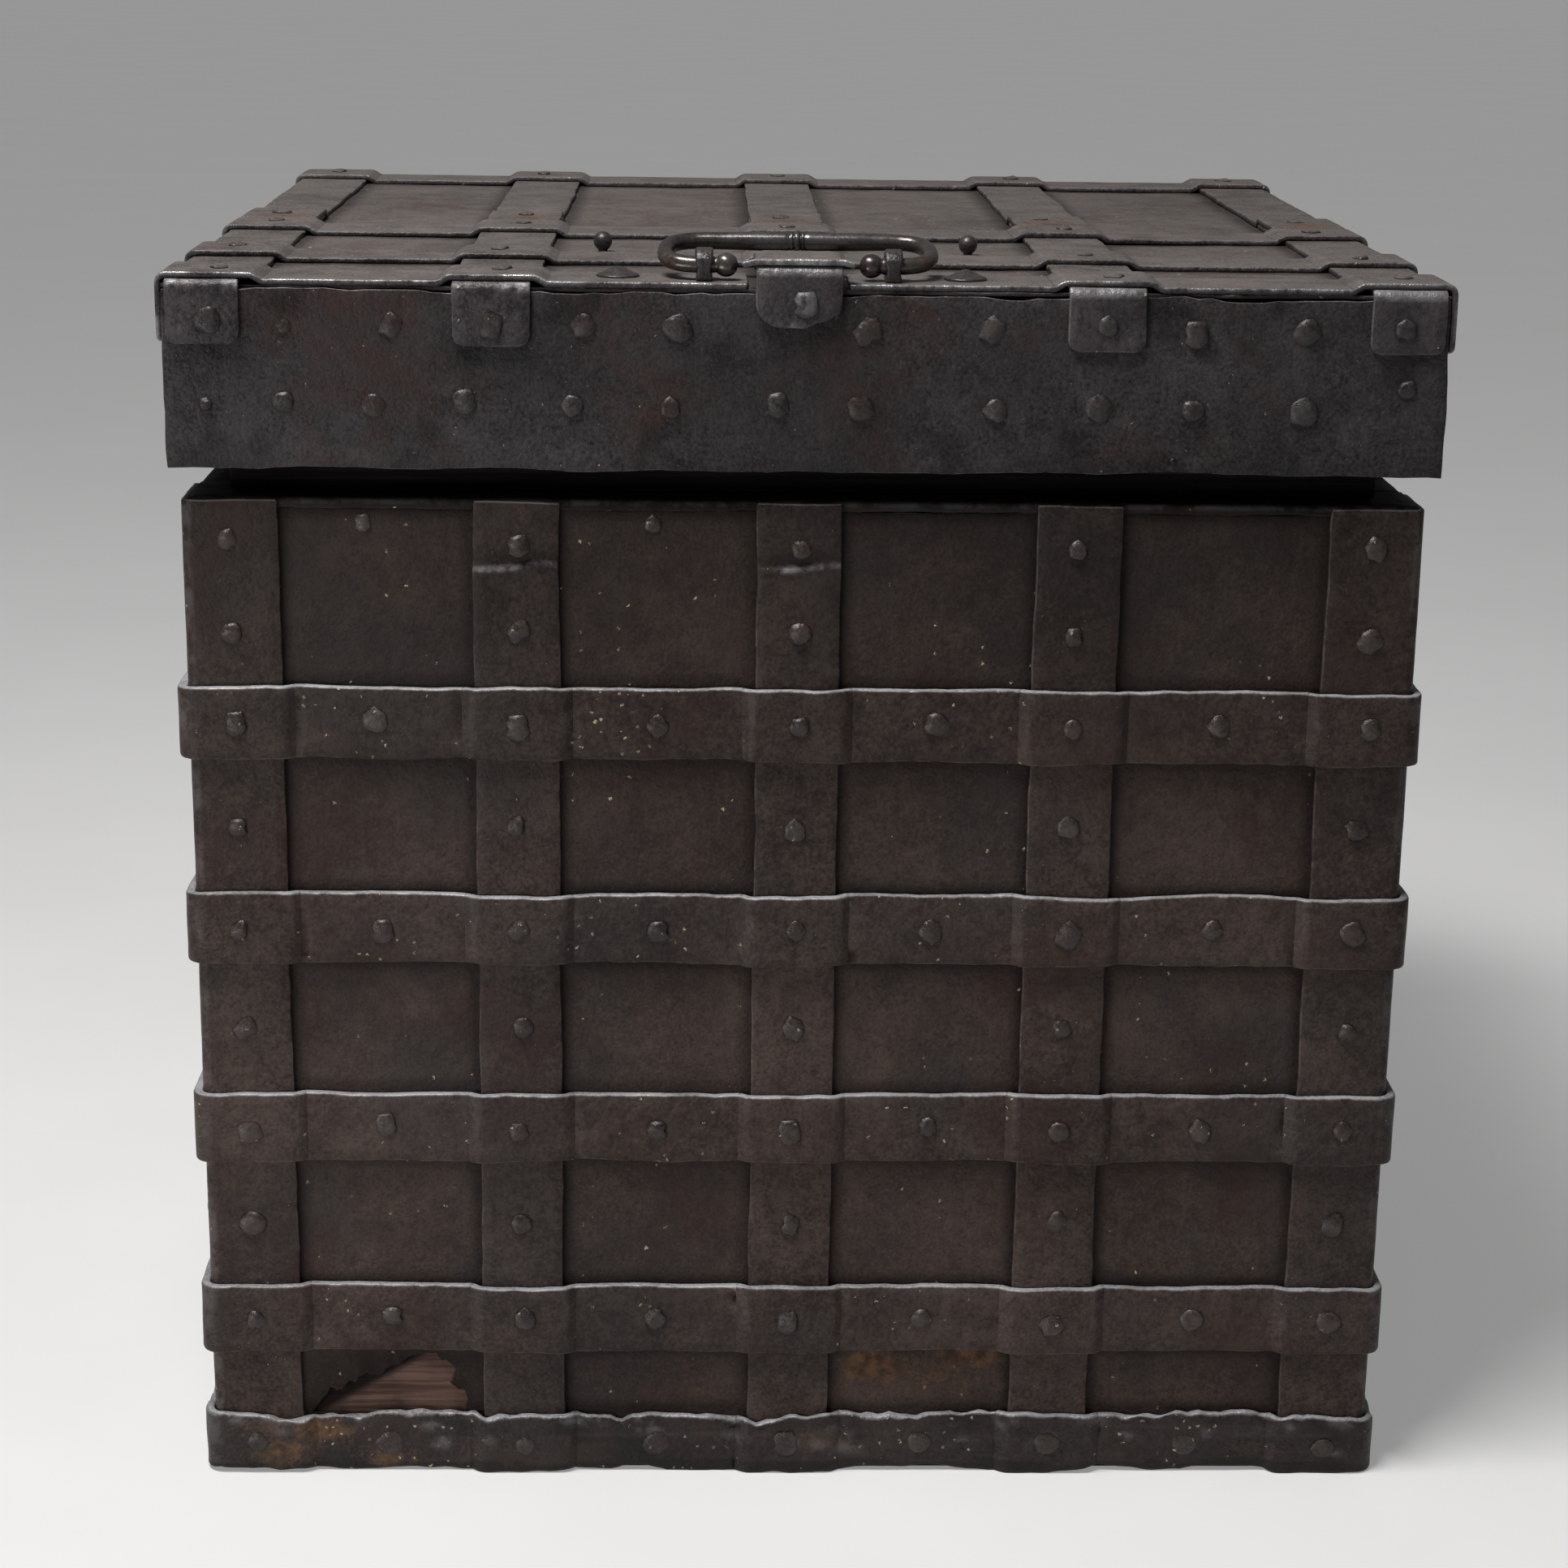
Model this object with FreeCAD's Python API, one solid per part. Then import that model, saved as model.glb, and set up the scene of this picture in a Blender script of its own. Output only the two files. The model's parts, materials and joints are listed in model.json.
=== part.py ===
import FreeCAD, Part
import math
import os
from FreeCAD import Placement, Rotation, Vector

os.makedirs("parts", exist_ok=True)

# An iron-clad strongbox. A thick wooden box and a deep wooden lid are covered in sheet iron
# and bound with riveted iron straps and bands. The lid hangs on two strap hinges at the back,
# carries a bail handle in front, and holds a three-bolt lock under its top board.
# Millimetres, +Z up, front towards -Y, origin on the floor under the middle of the box.

# Box boards and sheet iron
box_width = 604.0
box_depth = 584.0
box_height = 522.0
sheet = 2.0
wall_board = 38.0
floor_board = 38.0
rim_lip = 5.0

# Lid boards and sheet iron
lid_overhang = 8.0
lid_gap = 16.0
apron_height = 88.0
lid_top_board = 20.0
lid_frame_board = 16.0
frame_setback = 6.0
seat_clearance = 0.4

# Upright straps and corner angles of the box
strap_width = 42.0
strap_thickness = 3.5
corner_leg = 47.0
corner_radius = 6.0
front_strap_left = -142.0
front_strap_middle = -3.0
front_strap_right = 135.0
side_strap_spacing = 150.0
strap_top_drop = 1.0

# Bands round the box
band_count = 4
band_height = 37.0
band_thickness = 5.0
band_pitch = 107.3
bottom_band_top = 106.0
base_band_height = 33.0
joggle_run = 10.0

# Torn place in the front sheet, low in the left bay
tear_from_angle = 11.0
tear_width = 76.0
tear_behind_base = 2.0
tear_height = 32.0

# Straps of the lid
lid_strap_width = 41.0
lid_strap_thickness = 3.0
lid_strap_drop = 28.0
lid_strap_corner = 10.0
lid_strap_left = -152.0
lid_strap_centre = -5.0
lid_strap_right = 144.0
outer_strap_inset = 1.5
cross_strap_width = 42.0
second_cross_setback = 92.0
third_cross_setback = 222.0
rear_cross_setback = 18.0
front_cross_opening = 49.4
lap_gap = 3.0
lap_length = 50.0

# Raised front end of the centre strap, and the bridge plate on it
raised_lift = 9.0
raised_length = 51.0
raised_drop = 30.0
raised_apron_gap = 1.0
ramp_gap = 1.0
bridge_width = 53.0
bridge_length = 39.0
bridge_thickness = 3.0
bridge_end_run = 6.0
bridge_end_fall = 1.5
bridge_overhang = 3.0

# Bail handle, its posts, and the studs on the lid
bail_width = 137.0
bail_rod = 8.1
bail_reach = 38.0
bail_curl = 14.0
bail_swell = 9.2
bail_collar = 11.0
bail_collar_length = 3.0
bail_ball = 11.7
bail_ball_place = 35.0
bail_rest_gap = 0.3
post_place = 45.6
post_width = 8.7
post_wall = 3.9
post_setback = 13.0
post_rise = 7.3
post_clearance = 0.35
stud_middle = -8.0
knob_ball = 10.0
knob_neck = 5.0
knob_neck_height = 1.0
knob_place = 96.0
knob_setback = 157.0
dome_width = 21.0
dome_height = 5.2
dome_place = 84.5
dome_setback = 24.0

# Strap hinges
barrel_radius = 8.0
hinge_pin_radius = 4.5
hinge_running = 0.08
knuckle_length = 20.0
knuckle_gap = 0.4
hinge_sweep_gap = 0.6
hinge_tail_gap = 2.4
leaf_thickness = 4.0
leaf_band_gap = 6.0
leaf_bend = 22.0
hinge_pin_head = 3.0
leaf_rivet_margin = 10.0

# Lock under the lid
keyhole_setback = 195.0
keyhole_radius = 4.0
keyhole_slot = 3.5
keyhole_slot_length = 11.0
key_bore_radius = 12.0
lock_plate_width = 140.0
lock_plate_depth = 90.0
lock_plate_thickness = 3.0
disc_radius = 33.0
disc_thickness = 6.0
disc_hub_radius = 8.0
disc_running = 0.06
key_square = 7.0
drive_radius = 26.0
drive_pin_radius = 3.0
bolt_throw = 16.4
bolt_width = 16.0
bolt_thickness = 7.0
bolt_slack = 0.4
slot_slack = 0.5
slot_end_wall = 3.0
bolt_reach = 7.5
guide_wall = 4.0
guide_length = 12.0
guide_plate_gap = 15.0
guide_strike_gap = 12.0
strike_thickness = 6.0
strike_width = 40.0
strike_foot = 60.0
strike_top_wall = 4.0
strike_window_slack = 1.0

# Rivets
rivet_radius = 5.5
rivet_height = 3.2
lid_rivet_radius = 4.5
lid_rivet_height = 2.4
rim_rivet_drop = 22.0
rim_nail_radius = 4.0
rim_nail_height = 2.0
rim_nail_drop = 13.0
rim_nail_left = -217.0
rim_nail_right = -76.0
upper_rivet_rise = 27.0
apron_rivet_pitch = 48.0
apron_rivet_margin = 22.0
apron_rivet_rise = 32.0
apron_upper_rise = 71.0
drop_rivet_rise = 11.0

# Worked-out places that several pieces share
box_half_width = box_width / 2
box_half_depth = box_depth / 2
mouth_half_width = box_half_width - sheet - wall_board
mouth_half_depth = box_half_depth - sheet - wall_board
lid_half_width = box_half_width + lid_overhang
lid_half_depth = box_half_depth + lid_overhang
apron_bottom = box_height + lid_gap
lid_top = apron_bottom + apron_height
lid_ceiling = lid_top - sheet - lid_top_board
strap_top = lid_top + lid_strap_thickness
lid_front = -lid_half_depth
outer_strap_x = lid_half_width - outer_strap_inset - lid_strap_width / 2
inner_lid_straps = (lid_strap_left, lid_strap_centre, lid_strap_right)
lid_straps = (-outer_strap_x,) + inner_lid_straps + (outer_strap_x,)
front_straps = (front_strap_left, front_strap_middle, front_strap_right)
side_straps = (-side_strap_spacing, 0.0, side_strap_spacing)
band_tops = [bottom_band_top + number * band_pitch for number in range(band_count)]
lap_start = lid_front + third_cross_setback + cross_strap_width + lap_gap
lap_end = lap_start + lap_length
hinge_y = lid_half_depth + barrel_radius
hinge_z = box_height + lid_gap / 2
bail_y = lid_front + post_setback
bail_z = strap_top + post_rise
key_x = lid_strap_centre
key_y = lid_front + keyhole_setback

X_AXIS = Vector(1, 0, 0)
Y_AXIS = Vector(0, 1, 0)
Z_AXIS = Vector(0, 0, 1)


def save(name, *shapes):
    solid = shapes[0] if len(shapes) == 1 else Part.makeCompound(list(shapes))
    solid.exportStep("parts/%s.step" % name)


def block(x_span, y_span, z_span):
    low = Vector(x_span[0], y_span[0], z_span[0])
    return Part.makeBox(x_span[1] - x_span[0], y_span[1] - y_span[0], z_span[1] - z_span[0], low)


def rod(radius, start, direction, length):
    return Part.makeCylinder(radius, length, start, direction)


def prism(points, sweep):
    return Part.Face(Part.makePolygon(points + points[:1])).extrude(sweep)


def strip_outline(path, thickness):
    """The closed outline of a bent strip: its underside path, and that path moved to its left."""
    steps = []
    for first, second in zip(path, path[1:]):
        run = math.hypot(second[0] - first[0], second[1] - first[1])
        steps.append(((second[0] - first[0]) / run, (second[1] - first[1]) / run))
    top = []
    for number, point in enumerate(path):
        before = steps[max(number - 1, 0)]
        after = steps[min(number, len(steps) - 1)]
        lean = 1 + before[0] * after[0] + before[1] * after[1]
        shift_a = -(before[1] + after[1]) / lean * thickness
        shift_b = (before[0] + after[0]) / lean * thickness
        top.append((point[0] + shift_a, point[1] + shift_b))
    return path + top[::-1]


def strap_along_y(path, thickness, x_middle, width):
    points = [Vector(x_middle - width / 2, y, z) for y, z in strip_outline(path, thickness)]
    return prism(points, X_AXIS * width)


def strap_along_x(path, thickness, y_front, width):
    points = [Vector(x, y_front, z) for x, z in strip_outline(path, thickness)]
    return prism(points, Y_AXIS * width)


def rounded_end(strap, level, radius):
    """Round the lower corners of a strap's hanging end, seen from outside the lid."""
    edges = []
    for edge in strap.Edges:
        box = edge.BoundBox
        level_edge = abs(box.ZMin - level) < 0.01 and box.ZLength < 0.01
        if level_edge and 0.01 < box.DiagonalLength < lid_strap_width / 2:
            edges.append(edge)
    return strap.makeFillet(radius, edges)


def rivet_head(radius, height, place, outward):
    ball = (radius ** 2 + height ** 2) / (2 * height)
    base_angle = math.degrees(math.asin((ball - height) / ball))
    head = Part.makeSphere(ball, Vector(0, 0, height - ball), Z_AXIS, base_angle, 90)
    head.Placement = Placement(place, Rotation(Z_AXIS, outward))
    return head


# Wooden box
wood_half_width = box_half_width - sheet
wood_half_depth = box_half_depth - sheet
board_span = (sheet, box_height - sheet)
full_x = (-wood_half_width, wood_half_width)
mouth_x = (-mouth_half_width, mouth_half_width)
mouth_y = (-mouth_half_depth, mouth_half_depth)
save("box_front_board", block(full_x, (-wood_half_depth, -mouth_half_depth), board_span))
save("box_back_board", block(full_x, (mouth_half_depth, wood_half_depth), board_span))
save("box_left_board", block((-wood_half_width, -mouth_half_width), mouth_y, board_span))
save("box_right_board", block((mouth_half_width, wood_half_width), mouth_y, board_span))
save("box_floor_board", block(mouth_x, mouth_y, (sheet, sheet + floor_board)))

# Sheet iron on the box: a floor sheet, four wall sheets, and strips folded over the rim
lip_bottom = box_height - rim_lip
sheet_span = (sheet, lip_bottom)
sheet_x = (-box_half_width, box_half_width)
between_y = (-wood_half_depth, wood_half_depth)
tear_left = -box_half_width - strap_thickness + corner_leg + tear_from_angle
tear_low = base_band_height - tear_behind_base
tear_low_edge = ((0, 0.3), (0.12, 0), (0.55, 0.1), (0.8, 0), (1, 0.35))
tear_high_edge = ((0.9, 0.8), (0.6, 1), (0.35, 0.75), (0.1, 0.9))
tear_points = []
for along, up in tear_low_edge + tear_high_edge:
    tear_x = tear_left + along * tear_width
    tear_points.append(Vector(tear_x, -box_half_depth, tear_low + up * tear_height))
front_sheet = block(sheet_x, (-box_half_depth, -wood_half_depth), sheet_span)
save("box_front_sheet", front_sheet.cut(prism(tear_points, Y_AXIS * sheet)))
save("box_back_sheet", block(sheet_x, (wood_half_depth, box_half_depth), sheet_span))
side_sheets = []
for low, high in ((-box_half_width, -wood_half_width), (wood_half_width, box_half_width)):
    side_sheets.append(block((low, high), between_y, sheet_span))
save("box_side_sheets", *side_sheets)
save("box_floor_sheet", block(sheet_x, (-box_half_depth, box_half_depth), (0, sheet)))

rim_z = (box_height - sheet, box_height)
rim_strips = []
for side in (-1, 1):
    lip_y = sorted((side * wood_half_depth, side * box_half_depth))
    top_y = sorted((side * mouth_half_depth, side * box_half_depth))
    lip = block(sheet_x, lip_y, (lip_bottom, rim_z[1]))
    rim_strips.append(lip.fuse(block(sheet_x, top_y, rim_z)).removeSplitter())
for side in (-1, 1):
    lip_x = sorted((side * wood_half_width, side * box_half_width))
    top_x = sorted((side * mouth_half_width, side * box_half_width))
    lip = block(lip_x, between_y, (lip_bottom, rim_z[1]))
    rim_strips.append(lip.fuse(block(top_x, mouth_y, rim_z)).removeSplitter())
save("rim_strips", *rim_strips)

# Corner angles and upright straps
strap_z = (0, box_height - strap_top_drop)
strap_rise = Z_AXIS * (strap_z[1] - strap_z[0])
outer_x = box_half_width + strap_thickness
outer_y = box_half_depth + strap_thickness
arc_middle = corner_radius * (1 - math.sqrt(0.5))


def corner_angle(side_x, side_y):
    def at(x, y):
        return Vector(side_x * x, side_y * y, strap_z[0])

    bend_start = at(outer_x - corner_radius, outer_y)
    bend_end = at(outer_x, outer_y - corner_radius)
    bend = Part.Arc(bend_start, at(outer_x - arc_middle, outer_y - arc_middle), bend_end)
    rest = [bend_end, at(outer_x, outer_y - corner_leg), at(box_half_width, outer_y - corner_leg),
            at(box_half_width, box_half_depth), at(outer_x - corner_leg, box_half_depth),
            at(outer_x - corner_leg, outer_y), bend_start]
    outline = Part.Wire([bend.toShape()] + Part.makePolygon(rest).Edges)
    return Part.Face(outline).extrude(strap_rise)


save("corner_angles", *[corner_angle(side_x, side_y) for side_x in (-1, 1) for side_y in (-1, 1)])


def upright_x(x, side):
    y_span = sorted((side * box_half_depth, side * outer_y))
    return block((x - strap_width / 2, x + strap_width / 2), y_span, strap_z)


def upright_y(y, side):
    x_span = sorted((side * box_half_width, side * outer_x))
    return block(x_span, (y - strap_width / 2, y + strap_width / 2), strap_z)


save("front_straps", *[upright_x(x, -1) for x in front_straps])
save("back_straps", *[upright_x(x, 1) for x in inner_lid_straps])
save("side_straps", *[upright_y(y, side) for side in (-1, 1) for y in side_straps])

# Bands: closed rings that step over the straps and bend round the corners.
# Each side is its running direction, outward direction, half length, distance and straps.
box_sides = (
    (X_AXIS, -Y_AXIS, box_half_width, box_half_depth, front_straps),
    (Y_AXIS, X_AXIS, box_half_depth, box_half_width, side_straps),
    (-X_AXIS, Y_AXIS, box_half_width, box_half_depth, tuple(-x for x in inner_lid_straps[::-1])),
    (-Y_AXIS, -X_AXIS, box_half_depth, box_half_width, side_straps),
)


def band_wire(rise, level):
    edges = []
    for number, (along, out, half, distance, straps) in enumerate(box_sides):
        bend_place = half + strap_thickness - corner_radius
        leg_end = half + strap_thickness - corner_leg
        profile = [(-bend_place, strap_thickness), (-leg_end, strap_thickness), (-leg_end + joggle_run, 0)]
        for strap in straps:
            profile.append((strap - strap_width / 2 - joggle_run, 0))
            profile.append((strap - strap_width / 2, strap_thickness))
            profile.append((strap + strap_width / 2, strap_thickness))
            profile.append((strap + strap_width / 2 + joggle_run, 0))
        profile += [(leg_end - joggle_run, 0), (leg_end, strap_thickness), (bend_place, strap_thickness)]
        points = [along * a + out * (distance + b + rise) + Z_AXIS * level for a, b in profile]
        edges += Part.makePolygon(points).Edges
        next_out = box_sides[(number + 1) % 4][1]
        centre = along * bend_place + out * (distance + strap_thickness - corner_radius) + Z_AXIS * level
        reach = corner_radius + rise
        middle = centre + (out + next_out) * (reach * math.sqrt(0.5))
        edges.append(Part.Arc(points[-1], middle, centre + next_out * reach).toShape())
    return Part.Wire(edges)


def band_ring(bottom, top):
    outside = Part.Face(band_wire(band_thickness, bottom)).extrude(Z_AXIS * (top - bottom))
    inside = Part.Face(band_wire(0, bottom)).extrude(Z_AXIS * (top - bottom))
    return outside.cut(inside)


for number, top in enumerate(band_tops):
    save("band_%d" % (number + 1), band_ring(top - band_height, top))
save("base_band", band_ring(0, base_band_height))

# Rivets of the box: on every strap above the lowest band, on every crossing, and in every bay
strap_levels = [box_height - rim_rivet_drop, band_tops[-1] + upper_rivet_rise]
for lower, upper in zip(band_tops, band_tops[1:]):
    strap_levels.append((lower + upper - band_height) / 2)
band_levels = [top - band_height / 2 for top in band_tops] + [base_band_height / 2]


def side_rivets(along, out, half, distance, straps):
    corner = half + strap_thickness - corner_leg / 2
    places = [-corner] + list(straps) + [corner]
    spots = [(place, strap_thickness, level) for place in places for level in strap_levels]
    spots += [(place, strap_thickness + band_thickness, level) for place in places for level in band_levels]
    for left, right in zip(places, places[1:]):
        spots += [((left + right) / 2, band_thickness, level) for level in band_levels]
    heads = []
    for place, height, level in spots:
        point = along * place + out * (distance + height) + Z_AXIS * level
        heads.append(rivet_head(rivet_radius, rivet_height, point, out))
    return heads


leaf_top = box_height - leaf_bend
leaf_bottom = band_tops[-1] + leaf_band_gap
rim_nails = []
for x in (rim_nail_left, rim_nail_right):
    nail_spot = Vector(x, -box_half_depth, box_height - rim_nail_drop)
    rim_nails.append(rivet_head(rim_nail_radius, rim_nail_height, nail_spot, -Y_AXIS))
save("front_rivets", *(side_rivets(*box_sides[0]) + rim_nails))
save("side_rivets", *(side_rivets(*box_sides[1]) + side_rivets(*box_sides[3])))
back_heads = []
for head in side_rivets(*box_sides[2]):
    middle = head.CenterOfMass
    under_leaf = min(abs(middle.x - lid_strap_left), abs(middle.x - lid_strap_right)) < strap_width
    if not (under_leaf and middle.z > band_tops[-1]):
        back_heads.append(head)
for x in (lid_strap_left, lid_strap_right):
    for level in (leaf_bottom + leaf_rivet_margin, leaf_top - leaf_rivet_margin):
        spot = Vector(x, outer_y + leaf_thickness, level)
        back_heads.append(rivet_head(rivet_radius, rivet_height, spot, Y_AXIS))
save("back_rivets", *back_heads)

# Wooden lid: a top board, outer boards behind the apron, and an inner frame that stands on the rim
lid_wood_x = lid_half_width - sheet
lid_wood_y = lid_half_depth - sheet
frame_inner_x = mouth_half_width + frame_setback
frame_inner_y = mouth_half_depth + frame_setback
frame_outer_x = frame_inner_x + lid_frame_board
frame_outer_y = frame_inner_y + lid_frame_board
outer_board_z = (apron_bottom, lid_ceiling)
frame_z = (box_height + seat_clearance, lid_ceiling)
lid_wood_full = (-lid_wood_x, lid_wood_x)
top_board_z = (lid_ceiling, lid_top - sheet)
key_bore = rod(key_bore_radius, Vector(key_x, key_y, lid_ceiling), Z_AXIS, lid_top_board)
save("lid_top_board", block(lid_wood_full, (-lid_wood_y, lid_wood_y), top_board_z).cut(key_bore))
save("lid_front_board", block(lid_wood_full, (-lid_wood_y, -frame_outer_y), outer_board_z))
save("lid_back_board", block(lid_wood_full, (frame_outer_y, lid_wood_y), outer_board_z))
side_board_y = (-frame_outer_y, frame_outer_y)
save("lid_left_board", block((-lid_wood_x, -frame_outer_x), side_board_y, outer_board_z))
save("lid_right_board", block((frame_outer_x, lid_wood_x), side_board_y, outer_board_z))
frame_full = (-frame_outer_x, frame_outer_x)
frame_side_y = (-frame_inner_y, frame_inner_y)
save("lid_frame_front", block(frame_full, (-frame_outer_y, -frame_inner_y), frame_z))
save("lid_frame_back", block(frame_full, (frame_inner_y, frame_outer_y), frame_z))
save("lid_frame_left", block((-frame_outer_x, -frame_inner_x), frame_side_y, frame_z))
save("lid_frame_right", block((frame_inner_x, frame_outer_x), frame_side_y, frame_z))


# Sheet iron on the lid, with the keyhole through its top
def keyhole(bottom, depth):
    round_part = rod(keyhole_radius, Vector(key_x, key_y, bottom), Z_AXIS, depth)
    slot_x = (key_x - keyhole_slot / 2, key_x + keyhole_slot / 2)
    return round_part.fuse(block(slot_x, (key_y - keyhole_slot_length, key_y), (bottom, bottom + depth)))


lid_sheet_x = (-lid_half_width, lid_half_width)
apron_z = (apron_bottom, lid_top - sheet)
top_sheet = block(lid_sheet_x, (-lid_half_depth, lid_half_depth), (lid_top - sheet, lid_top))
save("lid_top_sheet", top_sheet.cut(keyhole(lid_top - sheet, sheet)))
save("apron_front", block(lid_sheet_x, (-lid_half_depth, -lid_wood_y), apron_z))
save("apron_back", block(lid_sheet_x, (lid_wood_y, lid_half_depth), apron_z))
apron_sides = []
for low, high in ((-lid_half_width, -lid_wood_x), (lid_wood_x, lid_half_width)):
    apron_sides.append(block((low, high), (-lid_wood_y, lid_wood_y), apron_z))
save("apron_sides", *apron_sides)

# Front-to-back straps of the lid: front lengths, and rear lengths lapped over them
drop_level = lid_top - lid_strap_drop
front_path = [(lid_front, drop_level), (lid_front, lid_top), (lap_end, lid_top)]
rear_path = [(lap_start, strap_top), (lap_end, strap_top), (lap_end + joggle_run, lid_top),
             (lid_half_depth, lid_top)]


def front_length(x):
    strap = strap_along_y(front_path, lid_strap_thickness, x, lid_strap_width)
    return rounded_end(strap, drop_level, lid_strap_corner)


def rear_length(x, end_level):
    path = rear_path + [(lid_half_depth, end_level)]
    return strap_along_y(path, lid_strap_thickness, x, lid_strap_width)


def plain_rear_length(x):
    return rounded_end(rear_length(x, drop_level), drop_level, lid_strap_corner)


hinged_straps = (lid_strap_left, lid_strap_right)
plain_rear = [x for x in lid_straps if x not in hinged_straps]
save("lid_front_straps", *[front_length(x) for x in lid_straps if x != lid_strap_centre])
save("lid_rear_straps", *[plain_rear_length(x) for x in plain_rear])

# The centre strap bows up behind the front edge before its end folds down
raised_under = lid_top + raised_lift
raised_face = lid_front - raised_apron_gap
raised_end = raised_under + lid_strap_thickness - raised_drop
ramp_start = lid_front + second_cross_setback - ramp_gap
centre_path = [(raised_face, raised_end), (raised_face, raised_under),
               (lid_front + raised_length, raised_under), (ramp_start, lid_top), (lap_end, lid_top)]
centre_strap = strap_along_y(centre_path, lid_strap_thickness, lid_strap_centre, lid_strap_width)
centre_strap = rounded_end(centre_strap, raised_end, lid_strap_corner)
save("lid_centre_strap", centre_strap.cut(keyhole(lid_top, lid_strap_thickness)))

# Side-to-side straps of the lid, stepped over the straps under them and folded down the sides
strap_half = lid_strap_width / 2


def cross_path(steps):
    return [(x, lid_top + (lid_strap_thickness if raised else 0)) for x, raised in steps]


def step_over(x):
    return [(x - strap_half - joggle_run, False), (x - strap_half, True),
            (x + strap_half, True), (x + strap_half + joggle_run, False)]


left_fold = [(-lid_half_width, drop_level), (-lid_half_width, strap_top)]
right_fold = [(lid_half_width, strap_top), (lid_half_width, drop_level)]
left_run = cross_path(step_over(-outer_strap_x)[2:] + step_over(lid_strap_left))
right_run = cross_path(step_over(lid_strap_right) + step_over(outer_strap_x)[:2])
whole_path = left_fold + left_run + cross_path(step_over(lid_strap_centre)) + right_run + right_fold
left_path = left_fold + left_run + [(lid_strap_centre - front_cross_opening / 2, lid_top)]
right_path = [(lid_strap_centre + front_cross_opening / 2, lid_top)] + right_run + right_fold


def cross_strap(path, y_front):
    strap = strap_along_x(path, lid_strap_thickness, y_front, cross_strap_width)
    return rounded_end(strap, drop_level, lid_strap_corner)


cross_fronts = (lid_front + second_cross_setback, lid_front + third_cross_setback,
                lid_half_depth - rear_cross_setback - cross_strap_width)
save("front_cross_straps", cross_strap(left_path, lid_front), cross_strap(right_path, lid_front))
save("cross_straps", *[cross_strap(whole_path, y_front) for y_front in cross_fronts])

# Bridge plate across the raised end of the centre strap
bridge_z = raised_under + lid_strap_thickness
flat_half = bridge_width / 2 - bridge_end_run
bridge_path = [(lid_strap_centre - bridge_width / 2, bridge_z - bridge_end_fall),
               (lid_strap_centre - flat_half, bridge_z), (lid_strap_centre + flat_half, bridge_z),
               (lid_strap_centre + bridge_width / 2, bridge_z - bridge_end_fall)]
save("bridge_plate", strap_along_x(bridge_path, bridge_thickness, lid_front - bridge_overhang, bridge_length))

# Bail posts: flat eyes that stand on the front cross straps
rod_radius = bail_rod / 2
eye_bore = rod_radius + post_clearance
eye_outer = eye_bore + post_wall


def bail_post(x):
    start = Vector(x - post_width / 2, bail_y, bail_z)
    post_x = (start.x, start.x + post_width)
    post_y = (bail_y - eye_outer, bail_y + eye_outer)
    stem = block(post_x, post_y, (strap_top, bail_z))
    above_strap = block(post_x, post_y, (strap_top, bail_z + eye_outer))
    eye = rod(eye_outer, start, X_AXIS, post_width).common(above_strap)
    post = stem.fuse(eye).removeSplitter()
    return post.cut(rod(eye_bore, start, X_AXIS, post_width))


save("bail_posts", *[bail_post(lid_strap_centre + side * post_place) for side in (-1, 1)])

# Bail: one forged rod with a swelling grip, a collar in the middle and a ball on each end.
# It is drawn lying flat behind its pivot line, then tipped up until it lies on the raised strap.
bail_half = (bail_width - bail_rod) / 2
bend = bail_half - bail_curl
bend_middle = bail_curl * (1 - math.sqrt(0.5))


def bail_point(across, back):
    return Vector(lid_strap_centre + across, bail_y + back, bail_z)


def bail_end(side):
    """Edges of one end, from its ball round the curl to the grip."""
    ball = bail_point(side * bail_ball_place, 0)
    low = [bail_point(side * bend, 0), bail_point(side * (bail_half - bend_middle), bend_middle),
           bail_point(side * bail_half, bail_curl)]
    high = [bail_point(side * bail_half, bail_reach - bail_curl),
            bail_point(side * (bail_half - bend_middle), bail_reach - bend_middle),
            bail_point(side * bend, bail_reach)]
    return [Part.LineSegment(ball, low[0]), Part.Arc(*low),
            Part.LineSegment(low[2], high[0]), Part.Arc(*high)]


grip_line = Part.LineSegment(bail_point(-bend, bail_reach), bail_point(bend, bail_reach))
bail_path = bail_end(-1) + [grip_line] + bail_end(1)
bail_wire = Part.Wire(Part.__sortEdges__([curve.toShape() for curve in bail_path]))
section = Part.Wire([Part.makeCircle(rod_radius, bail_point(-bail_ball_place, 0), X_AXIS)])
bail = bail_wire.makePipeShell([section], True, True)
for side in (-1, 1):
    start = bail_point(side * bail_collar_length, bail_reach)
    swell = Part.makeCone(bail_swell / 2, rod_radius, bend - bail_collar_length, start, X_AXIS * side)
    bail = bail.fuse(swell).fuse(Part.makeSphere(bail_ball / 2, bail_point(side * bail_ball_place, 0)))
collar_start = bail_point(-bail_collar_length / 2, bail_reach)
bail = bail.fuse(rod(bail_collar / 2, collar_start, X_AXIS, bail_collar_length))
collar_rest = raised_under + lid_strap_thickness + bail_rest_gap + bail_collar / 2
bail_tip = math.degrees(math.asin((collar_rest - bail_z) / bail_reach))
bail.rotate(bail_point(0, 0), X_AXIS, bail_tip)
save("bail", bail)


# Studs on the lid: ball-headed knobs, and low pointed domes on the front cross straps
def ball_knob(x):
    foot = Vector(x, lid_front + knob_setback, lid_top)
    ball_middle = foot + Z_AXIS * (knob_neck_height + knob_ball / 2)
    neck = rod(knob_neck / 2, foot, Z_AXIS, knob_neck_height + knob_ball / 2)
    return neck.fuse(Part.makeSphere(knob_ball / 2, ball_middle))


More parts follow.
